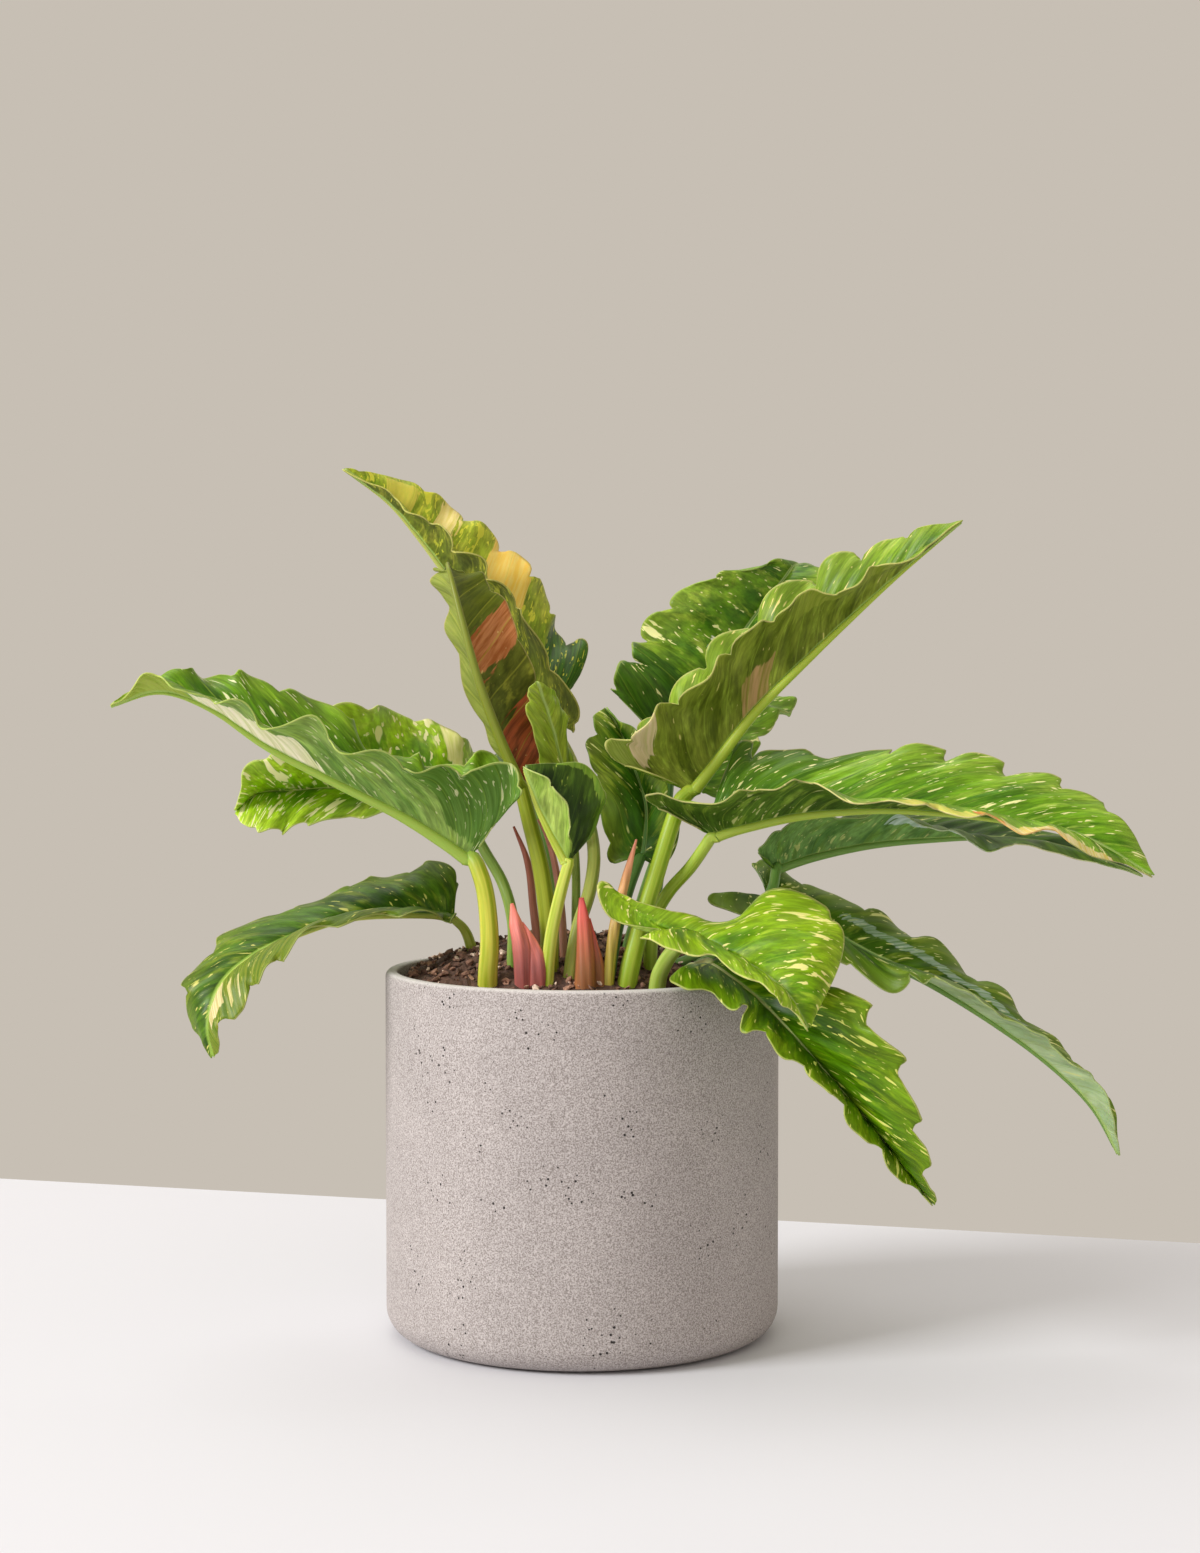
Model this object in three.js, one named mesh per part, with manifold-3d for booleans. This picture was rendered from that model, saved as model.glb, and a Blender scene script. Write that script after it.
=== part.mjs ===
// Ring of fire philodendron growing in a grey stone-effect planter.
// Millimetres, +Z up, +Y away from the viewer, origin at the centre of the pot's foot.
import * as THREE from 'three';
import * as BufferGeometryUtils from 'three/addons/utils/BufferGeometryUtils.js';
import Module from 'manifold-3d';

const wasm = await Module();
wasm.setup();

// pot
const potRadius = 100;
const potHeight = 185;
const footRound = 14;
const lipRound = 3;
const wall = 6;
const floorThickness = 9;

// fit
const gap = 0.3;

// potting mix: height at the wall, rise of the mound, middle of the mound
const soilEdge = 172;
const soilRise = 29;
const soilReach = 100;
const moundX = -6;
const moundY = 14;

// rootstock lying under the leaf stalks
const rootstock = { x: -2, y: -36, top: 149.3, halfLength: 62, halfWidth: 25, halfHeight: 16 };
const stalkFoot = 149.6;
const footCrowd = { x: 0.96, y: 0.84 };

// leaves
const bladeThickness = 0.9;
const rowsPerTooth = 3;
const across = [0, 0.1, 0.55, 1];
const stalkSides = 6;

// Each leaf: stalk from the soil to the blade, midrib, left and right margin seen from the
// upper face with the tip ahead, the tip, stalk radii at foot and blade, height of the waves
// along the margin and their number, pitch, depth and shape of the teeth (hook or scallop).
const leaves = {
  leaf_left_upper: {
    petiole: [[-46, -55, 182], [-45, -55, 205], [-47, -52, 227], [-51, -48, 240], [-54, -45, 245]],
    rib: [[-57, -46, 247], [-67, -48, 254], [-89, -53, 268], [-122, -60, 285], [-152, -66, 301],
      [-178, -72, 319], [-202, -80, 327]],
    left: [[-27, -68, 281], [-53, -65, 290], [-83, -86, 289], [-117, -90, 305], [-151, -92, 315],
      [-178, -94, 323], [-202, -91, 334]],
    right: [[-41, -26, 292], [-71, -26, 290], [-96, -23, 294], [-125, -40, 319], [-156, -53, 332],
      [-183, -54, 335], [-203, -70, 334]],
    tip: [-226, -88, 319], radii: [5.2, 3.8], wave: 3.4, waves: 6,
    pitch: 24, depth: 4, teeth: 'scallop',
  },
  leaf_left_back: {
    petiole: [[-34, -38, 191], [-34, -36, 211], [-39, -30, 230], [-49, -15, 246], [-63, 5, 268]],
    rib: [[-67, 5, 269], [-83, 6, 273], [-106, 5, 276], [-128, 2, 277], [-148, -4, 276],
      [-163, -10, 275]],
    left: [[-64, -9, 255], [-86, -16, 264], [-114, -22, 264], [-138, -25, 259], [-152, -32, 257],
      [-163, -32, 258]],
    right: [[-54, 37, 289], [-69, 32, 307], [-93, 31, 314], [-115, -20, 320], [-144, -37, 301],
      [-165, -34, 288]],
    tip: [-174, -22, 266], radii: [3.3, 2.6], wave: 1.6, waves: 4,
    pitch: 17, depth: 3, teeth: 'hook',
  },
  leaf_left_low: {
    petiole: [[-56, 15, 186], [-58, 14, 197], [-61, 13, 204], [-66, 11, 209]],
    rib: [[-73, 9, 212], [-91, 4, 213], [-118, -6, 212], [-142, -16, 205], [-164, -26, 195],
      [-179, -35, 182], [-185, -42, 164]],
    left: [[-66, -10, 211], [-86, -24, 215], [-114, -36, 213], [-141, -46, 202], [-154, -51, 188],
      [-165, -51, 175], [-177, -50, 160]],
    right: [[-65, 24, 234], [-86, 30, 235], [-115, 25, 226], [-148, 13, 216], [-182, -3, 201],
      [-198, -20, 182], [-195, -32, 162]],
    tip: [-182, -46, 145], radii: [3.4, 2.2], wave: 1.8, waves: 5,
    pitch: 24, depth: 4.5, teeth: 'hook',
  },
  leaf_tall_back: {
    petiole: [[-6, -55, 182], [-2, -48, 209], [4, -38, 228], [6, -25, 247], [1, -5, 271],
      [-6, 18, 291], [-17, 32, 310]],
    rib: [[-21, 36, 315], [-33, 44, 336], [-49, 52, 361], [-69, 58, 385], [-86, 62, 407],
      [-103, 64, 426]],
    left: [[-1, 11, 307], [-22, 19, 352], [-40, 27, 378], [-57, 30, 394], [-75, 39, 410],
      [-98, 51, 426]],
    right: [[3, 56, 345], [-14, 74, 358], [-21, 75, 382], [-41, 77, 402], [-62, 79, 418],
      [-91, 76, 436]],
    tip: [-128, 62, 444], radii: [3.6, 3.0], wave: 3, waves: 6,
    pitch: 24, depth: 6, teeth: 'scallop',
  },
  leaf_orange: {
    petiole: [[-16, -48, 191], [-16, -48, 209], [-20, -44, 239], [-26, -38, 263], [-30, -34, 279]],
    rib: [[-32, -33, 285], [-41, -30, 305], [-51, -26, 332], [-59, -20, 360], [-65, -12, 381],
      [-68, -2, 390]],
    left: [[-13, -12, 296], [-20, -7, 311], [-24, -5, 333], [-36, 1, 365], [-48, 10, 381],
      [-58, 17, 387]],
    right: [[-37, -10, 288], [-51, -2, 308], [-63, 2, 341], [-70, 9, 367], [-75, 14, 383],
      [-75, 19, 388]],
    tip: [-67, 14, 387], radii: [5.2, 3.6], wave: 1.6, waves: 5,
    pitch: 22, depth: 2.5, teeth: 'scallop',
  },
  leaf_small_front: {
    petiole: [[-17, -60, 181], [-15, -60, 205], [-11, -60, 225], [-6, -60, 244]],
    rib: [[-8, -60, 247], [-14, -61, 258], [-20, -62, 270], [-24, -63, 280]],
    left: [[-5, -70, 256], [-5, -71, 267], [-11, -72, 277], [-17, -70, 284]],
    right: [[4, -46, 254], [11, -48, 267], [10, -50, 281], [-2, -55, 291]],
    tip: [-28, -64, 290], radii: [3.7, 2.8], wave: 0.8, waves: 2,
    pitch: 16, depth: 1.6, teeth: 'scallop',
  },
  leaf_small_olive: {
    petiole: [[-3, -23, 188], [-3, -22, 212], [-3, -24, 238], [-5, -32, 262], [-8, -38, 276]],
    rib: [[-9, -38, 286], [-12, -38, 299], [-16, -38, 313], [-19, -38, 322]],
    left: [[-17, -46, 287], [-23, -49, 301], [-26, -50, 318], [-26, -46, 325]],
    right: [[-5, -27, 291], [-8, -26, 306], [-9, -26, 317], [-13, -30, 325]],
    tip: [-22, -38, 331], radii: [2.4, 2.0], wave: 0.8, waves: 2,
    pitch: 17, depth: 1.5, teeth: 'scallop',
  },
  leaf_right_tall: {
    petiole: [[22, -58, 181], [28, -54, 208], [34, -50, 228], [47, -42, 268], [53, -40, 277]],
    rib: [[55, -40, 280], [66, -40, 294], [85, -42, 318], [109, -46, 342], [130, -52, 362],
      [155, -60, 385]],
    left: [[29, -7, 299], [44, -17, 322], [71, -26, 352], [103, -30, 377], [130, -43, 393],
      [158, -52, 402]],
    right: [[12, -55, 296], [33, -60, 312], [63, -61, 338], [92, -67, 364], [118, -74, 375],
      [150, -75, 387]],
    tip: [185, -70, 410], radii: [5.2, 3.8], wave: 3.4, waves: 6,
    pitch: 23, depth: 5, teeth: 'scallop',
  },
  leaf_right_back: {
    petiole: [[33, -10, 192], [37, 0, 220], [41, 12, 250], [44, 22, 275], [45, 26, 293]],
    rib: [[48, 27, 300], [63, 30, 324], [76, 34, 345], [90, 40, 365], [105, 48, 384],
      [113, 62, 393]],
    left: [[15, 10, 327], [23, 14, 341], [28, 33, 352], [41, 30, 369], [65, 33, 384],
      [95, 38, 391]],
    right: [[63, 14, 304], [81, 16, 322], [96, 20, 343], [110, 26, 360], [123, 36, 377],
      [128, 55, 388]],
    tip: [124, 92, 390], radii: [3.6, 3.0], wave: 2.8, waves: 6,
    pitch: 22, depth: 6, teeth: 'scallop',
  },
  leaf_right_mid: {
    petiole: [[34, -35, 192], [36, -36, 213], [43, -38, 227], [54, -42, 240], [64, -46, 255]],
    rib: [[67, -47, 257], [80, -50, 261], [107, -56, 267], [140, -64, 270], [171, -70, 269],
      [204, -76, 265], [239, -80, 258]],
    left: [[74, -28, 296], [93, -28, 297], [133, -36, 296], [169, -48, 299], [201, -52, 292],
      [231, -59, 283], [257, -69, 269]],
    right: [[30, -62, 275], [68, -83, 275], [97, -87, 284], [134, -99, 275], [167, -104, 272],
      [199, -106, 265], [230, -100, 256]],
    tip: [276, -84, 237], radii: [3.6, 3.0], wave: 2.2, waves: 7,
    pitch: 26, depth: 5.5, teeth: 'hook',
  },
  leaf_right_under: {
    petiole: [[54, -36, 184], [66, -35, 195], [84, -31, 209], [95, -21, 226], [98, -12, 236]],
    rib: [[100, -9, 238], [118, -12, 244], [145, -18, 250], [174, -24, 253], [203, -30, 254],
      [237, -38, 250]],
    left: [[108, 20, 253], [130, 17, 262], [155, 13, 264], [186, 7, 262], [214, -4, 259],
      [245, -22, 253]],
    right: [[88, -29, 248], [104, -35, 261], [135, -44, 266], [165, -48, 264], [193, -49, 251],
      [227, -51, 249]],
    tip: [279, -48, 235], radii: [3.2, 2.6], wave: 1.8, waves: 6,
    pitch: 26, depth: 3, teeth: 'scallop',
  },
  leaf_right_low: {
    petiole: [[43, -18, 183], [60, -8, 193], [80, 0, 207], [95, 4, 220]],
    rib: [[100, 4, 218], [124, 0, 206], [145, -6, 194], [173, -12, 181], [203, -20, 163],
      [232, -28, 142], [254, -36, 120]],
    left: [[88, 22, 239], [118, 21, 226], [155, 18, 210], [186, 11, 191], [217, -2, 169],
      [243, -14, 145], [263, -28, 123]],
    right: [[63, -10, 222], [109, -25, 198], [155, -25, 179], [175, -38, 185], [204, -43, 169],
      [234, -44, 151], [259, -46, 126]],
    tip: [267, -42, 95], radii: [3.2, 2.6], wave: 1.8, waves: 7,
    pitch: 26, depth: 4, teeth: 'scallop',
  },
  leaf_front_right: {
    petiole: [[37, -60, 182], [40, -62, 193], [46, -66, 202], [56, -72, 211]],
    rib: [[59, -76, 210], [67, -88, 205], [78, -103, 199], [88, -118, 193], [97, -129, 185]],
    left: [[11, -62, 235], [57, -72, 217], [95, -73, 230], [119, -98, 223], [122, -109, 205]],
    right: [[26, -98, 209], [55, -111, 205], [71, -130, 199], [81, -145, 193], [93, -148, 186]],
    tip: [105, -136, 171], radii: [4.4, 3.6], wave: 1.4, waves: 4,
    pitch: 22, depth: 4, teeth: 'hook',
  },
  leaf_front_low: {
    petiole: [[52, -48, 185], [57, -54, 191], [62, -62, 194]],
    rib: [[66, -70, 193], [81, -86, 183], [97, -94, 168], [114, -100, 149], [132, -102, 128],
      [150, -100, 106]],
    left: [[79, -48, 199], [107, -65, 195], [128, -114, 185], [147, -123, 160], [157, -122, 128],
      [164, -110, 100]],
    right: [[42, -91, 190], [70, -105, 180], [79, -109, 168], [99, -117, 155], [121, -118, 133],
      [144, -110, 105]],
    tip: [169, -94, 81], radii: [3.8, 3.2], wave: 1.8, waves: 6,
    pitch: 21, depth: 5, teeth: 'hook',
  },
  leaf_inner_dark: {
    petiole: [[13, -50, 181], [17, -46, 207], [23, -38, 228], [29, -28, 243]],
    rib: [[31, -26, 249], [32, -22, 269], [26, -20, 289], [20, -18, 305]],
    left: [[14, -26, 241], [8, -38, 273], [4, -32, 293], [6, -26, 310]],
    right: [[42, -28, 239], [48, -31, 268], [34, -30, 288], [26, -26, 305]],
    tip: [12, -16, 318], radii: [3.4, 2.8], wave: 1.4, waves: 3,
    pitch: 18, depth: 4, teeth: 'scallop',
  },
  leaf_back_right: {
    petiole: [[22, -10, 189], [30, 5, 217], [40, 25, 244], [51, 42, 266], [55, 50, 276]],
    rib: [[58, 56, 281], [64, 82, 298], [71, 112, 312], [78, 145, 319], [85, 178, 315]],
    left: [[38, 60, 285], [39, 84, 302], [39, 114, 319], [48, 150, 325], [65, 184, 319]],
    right: [[75, 60, 269], [93, 84, 293], [107, 114, 311], [119, 150, 318], [110, 184, 307]],
    tip: [91, 205, 299], radii: [3.2, 2.6], wave: 2.4, waves: 6,
    pitch: 25, depth: 4, teeth: 'hook',
  },
  leaf_back_left: {
    petiole: [[-11, -15, 192], [-13, -5, 220], [-18, 8, 242], [-24, 22, 262], [-32, 34, 274]],
    rib: [[-34, 38, 277], [-40, 62, 281], [-45, 95, 285], [-52, 130, 287], [-59, 165, 281]],
    left: [[-53, 44, 269], [-65, 66, 276], [-74, 98, 285], [-78, 134, 289], [-76, 170, 280]],
    right: [[-14, 44, 274], [-12, 66, 288], [-15, 98, 294], [-24, 134, 295], [-41, 170, 285]],
    tip: [-66, 195, 266], radii: [3.2, 2.6], wave: 2.2, waves: 5,
    pitch: 24, depth: 4, teeth: 'scallop',
  },
};

// Pink sheaths and rolled new leaves between the stalks: middle line and radii.
const spears = {
  sheath_red_left: {
    line: [[-28, -60, 182], [-29, -60, 201], [-32, -58, 213], [-34, -56, 223]],
    radii: [4.6, 4.8, 3.4, 0.8],
  },
  sheath_red_middle: {
    line: [[2, -63, 181], [2, -62, 201], [1, -60, 215], [0, -58, 226]],
    radii: [5.6, 4.4, 3.2, 1.2],
  },
  spear_orange: {
    line: [[13, -61, 181], [16, -58, 210], [22, -53, 236], [27, -50, 254]],
    radii: [2.8, 2.8, 2.2, 0.5],
  },
  sheath_thin_left: {
    line: [[-21, -34, 189], [-24, -32, 218], [-27, -28, 241], [-34, -26, 259]],
    radii: [2.2, 2.0, 1.7, 0.6],
  },
  sheath_thin_middle: {
    line: [[-9, -32, 192], [-10, -28, 215], [-13, -24, 237], [-17, -20, 252], [-22, -18, 262]],
    radii: [2.0, 2.0, 1.8, 1.3, 0.6],
  },
};

const toVectors = (points) => points.map((point) => new THREE.Vector3(...point));

// Smooth line through the points, t from 0 to 1.
function along(points, t) {
  const spans = points.length - 1;
  const at = Math.min(Math.max(t, 0), 1) * spans;
  const i = Math.min(Math.floor(at), spans - 1);
  const w = at - i;
  const p1 = points[i];
  const p2 = points[i + 1];
  const p0 = i > 0 ? points[i - 1] : p1.clone().multiplyScalar(2).sub(p2);
  const p3 = i + 2 <= spans ? points[i + 2] : p2.clone().multiplyScalar(2).sub(p1);
  const blend = (a, b, c, d) => 0.5 * (2 * b + (c - a) * w + (2 * a - 5 * b + 4 * c - d) * w * w
    + (3 * b - a - 3 * c + d) * w * w * w);
  return new THREE.Vector3(
    blend(p0.x, p1.x, p2.x, p3.x),
    blend(p0.y, p1.y, p2.y, p3.y),
    blend(p0.z, p1.z, p2.z, p3.z),
  );
}

const lengthOf = (points) => points.slice(1)
  .reduce((sum, point, i) => sum + point.distanceTo(points[i]), 0);

function meshFrom(vertices, triangles) {
  const geometry = new THREE.BufferGeometry();
  const flat = vertices.flatMap((v) => [v.x, v.y, v.z]);
  geometry.setAttribute('position', new THREE.Float32BufferAttribute(flat, 3));
  geometry.setIndex(triangles.flat());
  return geometry;
}

// Closed round tube with flat ends along a line, one radius for each ring.
function tube(rings, radii, sides) {
  const vertices = [];
  const triangles = [];
  let side = new THREE.Vector3(1, 0, 0);
  rings.forEach((middle, i) => {
    const before = rings[Math.max(i - 1, 0)];
    const after = rings[Math.min(i + 1, rings.length - 1)];
    const ahead = after.clone().sub(before).normalize();
    side = side.clone().addScaledVector(ahead, -side.dot(ahead)).normalize();
    const other = ahead.clone().cross(side);
    for (let k = 0; k < sides; k += 1) {
      const angle = (2 * Math.PI * k) / sides;
      vertices.push(middle.clone()
        .addScaledVector(side, radii[i] * Math.cos(angle))
        .addScaledVector(other, radii[i] * Math.sin(angle)));
    }
  });
  for (let i = 0; i < rings.length - 1; i += 1) {
    for (let k = 0; k < sides; k += 1) {
      const a = i * sides + k;
      const b = i * sides + ((k + 1) % sides);
      triangles.push([a, b, b + sides], [a, b + sides, a + sides]);
    }
  }
  const last = (rings.length - 1) * sides;
  for (let k = 1; k < sides - 1; k += 1) {
    triangles.push([0, k + 1, k], [last, last + k, last + k + 1]);
  }
  return meshFrom(vertices, triangles);
}

// Line from the rootstock up through the soil, followed by the visible points.
function fromFoot(points, foot = stalkFoot) {
  const first = points[0];
  const dx = rootstock.x + (first.x - rootstock.x) * footCrowd.x;
  const dy = rootstock.y + (first.y - rootstock.y) * footCrowd.y;
  return [new THREE.Vector3(dx, dy, foot), ...points];
}

function stalkRings(points, radiusAt, grow, foot) {
  const line = fromFoot(points, foot);
  const count = Math.max(5, Math.round(lengthOf(line) / 20));
  const rings = [];
  const radii = [];
  for (let i = 0; i <= count; i += 1) {
    rings.push(along(line, i / count));
    radii.push(radiusAt(i / count) + grow);
  }
  return { rings, radii };
}

function stalk(leaf, grow = 0, foot = stalkFoot) {
  const [low, high] = leaf.radii;
  const points = toVectors([...leaf.petiole, leaf.rib[0]]);
  const { rings, radii } = stalkRings(points, (t) => low + (high - low) * t, grow, foot);
  return tube(rings, radii, stalkSides);
}

function spear(shape, grow = 0, foot = stalkFoot) {
  const points = toVectors(shape.line);
  const radii = [shape.radii[0], ...shape.radii];
  const radiusAt = (t) => {
    const at = t * (radii.length - 1);
    const i = Math.min(Math.floor(at), radii.length - 2);
    return radii[i] + (radii[i + 1] - radii[i]) * (at - i);
  };
  const { rings, radii: sizes } = stalkRings(points, radiusAt, grow, foot);
  return tube(rings, sizes, stalkSides);
}

// Notched margin: a hook rises slowly and falls quickly, a scallop is a round lobe.
function tooth(phase, shape) {
  const f = phase - Math.floor(phase);
  if (shape === 'scallop') return Math.sqrt(Math.sin(Math.PI * f)) - 0.65;
  return (f < 2 / 3 ? 1.5 * f : 3 * (1 - f)) - 0.5;
}

function blade(leaf) {
  const joint = new THREE.Vector3(...leaf.petiole[leaf.petiole.length - 1]);
  const tip = new THREE.Vector3(...leaf.tip);
  const rib = [joint, ...toVectors(leaf.rib), tip];
  const margins = {
    left: [joint, ...toVectors(leaf.left), tip],
    right: [joint, ...toVectors(leaf.right), tip],
  };
  const teeth = Math.max(3, Math.round(lengthOf(rib) / leaf.pitch));
  const rows = teeth * rowsPerTooth;
  const columns = 2 * across.length - 1;
  const middle = across.length - 1;
  const surface = [];
  for (let i = 0; i <= rows; i += 1) {
    const t = 0.02 + 0.97 * (i / rows);
    const centre = along(rib, t);
    const ahead = along(rib, Math.min(t + 0.01, 1)).sub(along(rib, t - 0.01)).normalize();
    const fade = Math.sqrt(Math.sin(Math.PI * Math.min(Math.max(t, 0), 1)));
    const row = new Array(columns);
    row[middle] = centre;
    [['left', -1, 0], ['right', 1, 1]].forEach(([name, sign, shift]) => {
      const reach = along(margins[name], t).sub(centre);
      const width = reach.length();
      const up = reach.clone().cross(ahead).multiplyScalar(sign).normalize();
      const bite = tooth(i / rowsPerTooth + shift / 3, leaf.teeth);
      const notch = bite * leaf.depth * fade * (1.15 - 0.7 * t);
      across.slice(1).forEach((u, k) => {
        const grow = u === 1 ? 1 + Math.max(notch / width, -0.4) : 1;
        const ripple = Math.sin(2 * Math.PI * (leaf.waves * t + 0.3 * shift)) * leaf.wave;
        const lift = 0.09 * width * 4 * u * (1 - u) + ripple * u * u * fade;
        row[middle + sign * (k + 1)] = centre.clone()
          .addScaledVector(reach, u * grow)
          .addScaledVector(up, lift);
      });
    });
    surface.push(row);
  }
  return thicken(surface, rows, columns, middle, leaf.radii[1]);
}

// Gives a grid of points a thickness, with a rounded-off ridge below the midrib.
function thicken(surface, rows, columns, middle, ridge) {
  const index = (i, j) => i * columns + j;
  const points = surface.flat();
  const normals = points.map(() => new THREE.Vector3());
  const faces = [];
  for (let i = 0; i < rows; i += 1) {
    for (let j = 0; j < columns - 1; j += 1) {
      const a = index(i, j);
      const b = index(i, j + 1);
      const c = index(i + 1, j + 1);
      const d = index(i + 1, j);
      if (j < middle) {
        faces.push([a, b, d], [b, c, d]);
      } else {
        faces.push([a, b, c], [a, c, d]);
      }
    }
  }
  faces.forEach(([a, b, c]) => {
    const normal = points[b].clone().sub(points[a]).cross(points[c].clone().sub(points[a]));
    normal.normalize();
    [a, b, c].forEach((k) => normals[k].add(normal));
  });
  normals.forEach((normal) => normal.normalize());
  const half = bladeThickness / 2;
  const upper = points.map((p, k) => p.clone().addScaledVector(normals[k], half));
  const lower = points.map((p, k) => {
    const i = Math.floor(k / columns);
    const depth = k % columns === middle ? ridge * 0.9 * (1 - i / rows) ** 0.8 : 0;
    return p.clone().addScaledVector(normals[k], -half - depth);
  });
  const count = points.length;
  const triangles = [];
  faces.forEach(([a, b, c]) => {
    triangles.push([a, b, c], [count + a, count + c, count + b]);
  });
  const border = [];
  for (let j = 0; j < columns - 1; j += 1) border.push(index(0, j));
  for (let i = 0; i < rows; i += 1) border.push(index(i, columns - 1));
  for (let j = columns - 1; j > 0; j -= 1) border.push(index(rows, j));
  for (let i = rows; i > 0; i -= 1) border.push(index(i, 0));
  border.forEach((a, k) => {
    const b = border[(k + 1) % border.length];
    triangles.push([a, count + a, count + b], [a, count + b, b]);
  });
  return meshFrom([...upper, ...lower], triangles);
}

function toSolid(geometry) {
  const bare = geometry.clone();
  bare.deleteAttribute('normal');
  bare.deleteAttribute('uv');
  const merged = BufferGeometryUtils.mergeVertices(bare, 1e-4);
  const solid = new wasm.Manifold(new wasm.Mesh({
    numProp: 3,
    vertProperties: new Float32Array(merged.attributes.position.array),
    triVerts: new Uint32Array(merged.index.array),
  }));
  return solid;
}

const largest = (solid) => solid.decompose().sort((a, b) => b.volume() - a.volume())[0];

function toGeometry(solid) {
  const mesh = solid.getMesh();
  const geometry = new THREE.BufferGeometry();
  geometry.setAttribute('position', new THREE.BufferAttribute(mesh.vertProperties, 3));
  geometry.setIndex(new THREE.BufferAttribute(mesh.triVerts, 1));
  return geometry;
}

function soilTop(x, y) {
  const far = ((x - moundX) ** 2 + (y - moundY) ** 2) / soilReach ** 2;
  const crumbs = 0.9 * Math.sin(x * 0.31 + 1) * Math.cos(y * 0.27) + 0.6 * Math.sin(x * 0.13 - y * 0.19);
  return soilEdge + soilRise * Math.max(0, 1 - far) ** 0.9 + crumbs;
}

function lathe(outline, segments) {
  const points = outline.map(([r, z]) => new THREE.Vector2(r, z));
  const turned = new THREE.LatheGeometry(points, segments);
  turned.rotateX(Math.PI / 2);
  return turned;
}

function buildPot() {
  const outline = [[0, 0]];
  for (let i = 0; i <= 5; i += 1) {
    const angle = (Math.PI / 2) * (i / 5);
    outline.push([
      potRadius - footRound + footRound * Math.sin(angle),
      footRound - footRound * Math.cos(angle),
    ]);
  }
  for (let i = 0; i <= 3; i += 1) {
    const angle = (Math.PI / 2) * (i / 3);
    outline.push([
      potRadius - lipRound + lipRound * Math.cos(angle),
      potHeight - lipRound + lipRound * Math.sin(angle),
    ]);
  }
  const inner = potRadius - wall;
  outline.push([inner + 1, potHeight], [inner, potHeight - 1], [inner, floorThickness]);
  outline.push([0, floorThickness]);
  return lathe(outline, 40);
}

function soilBlock() {
  const radius = potRadius - wall - gap;
  const rings = 4;
  const segments = 30;
  const vertices = [new THREE.Vector3(0, 0, soilTop(0, 0))];
  const triangles = [];
  const ringStart = (ring) => 1 + (ring - 1) * segments;
  for (let ring = 1; ring <= rings; ring += 1) {
    for (let k = 0; k < segments; k += 1) {
      const angle = (2 * Math.PI * k) / segments;
      const x = (radius * ring / rings) * Math.cos(angle);
      const y = (radius * ring / rings) * Math.sin(angle);
      vertices.push(new THREE.Vector3(x, y, soilTop(x, y)));
    }
  }
  const bottomStart = vertices.length;
  for (let k = 0; k < segments; k += 1) {
    const angle = (2 * Math.PI * k) / segments;
    vertices.push(new THREE.Vector3(
      radius * Math.cos(angle),
      radius * Math.sin(angle),
      floorThickness + gap,
    ));
  }
  vertices.push(new THREE.Vector3(0, 0, floorThickness + gap));
  const bottomMiddle = vertices.length - 1;
  for (let k = 0; k < segments; k += 1) {
    const next = (k + 1) % segments;
    triangles.push([0, ringStart(1) + k, ringStart(1) + next]);
    for (let ring = 1; ring < rings; ring += 1) {
      const a = ringStart(ring) + k;
      const b = ringStart(ring) + next;
      triangles.push([a, a + segments, b + segments], [a, b + segments, b]);
    }
    const a = ringStart(rings) + k;
    const b = ringStart(rings) + next;
    triangles.push([a, bottomStart + k, bottomStart + next], [a, bottomStart + next, b]);
    triangles.push([bottomMiddle, bottomStart + next, bottomStart + k]);
  }
  return meshFrom(vertices, triangles);
}

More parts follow.
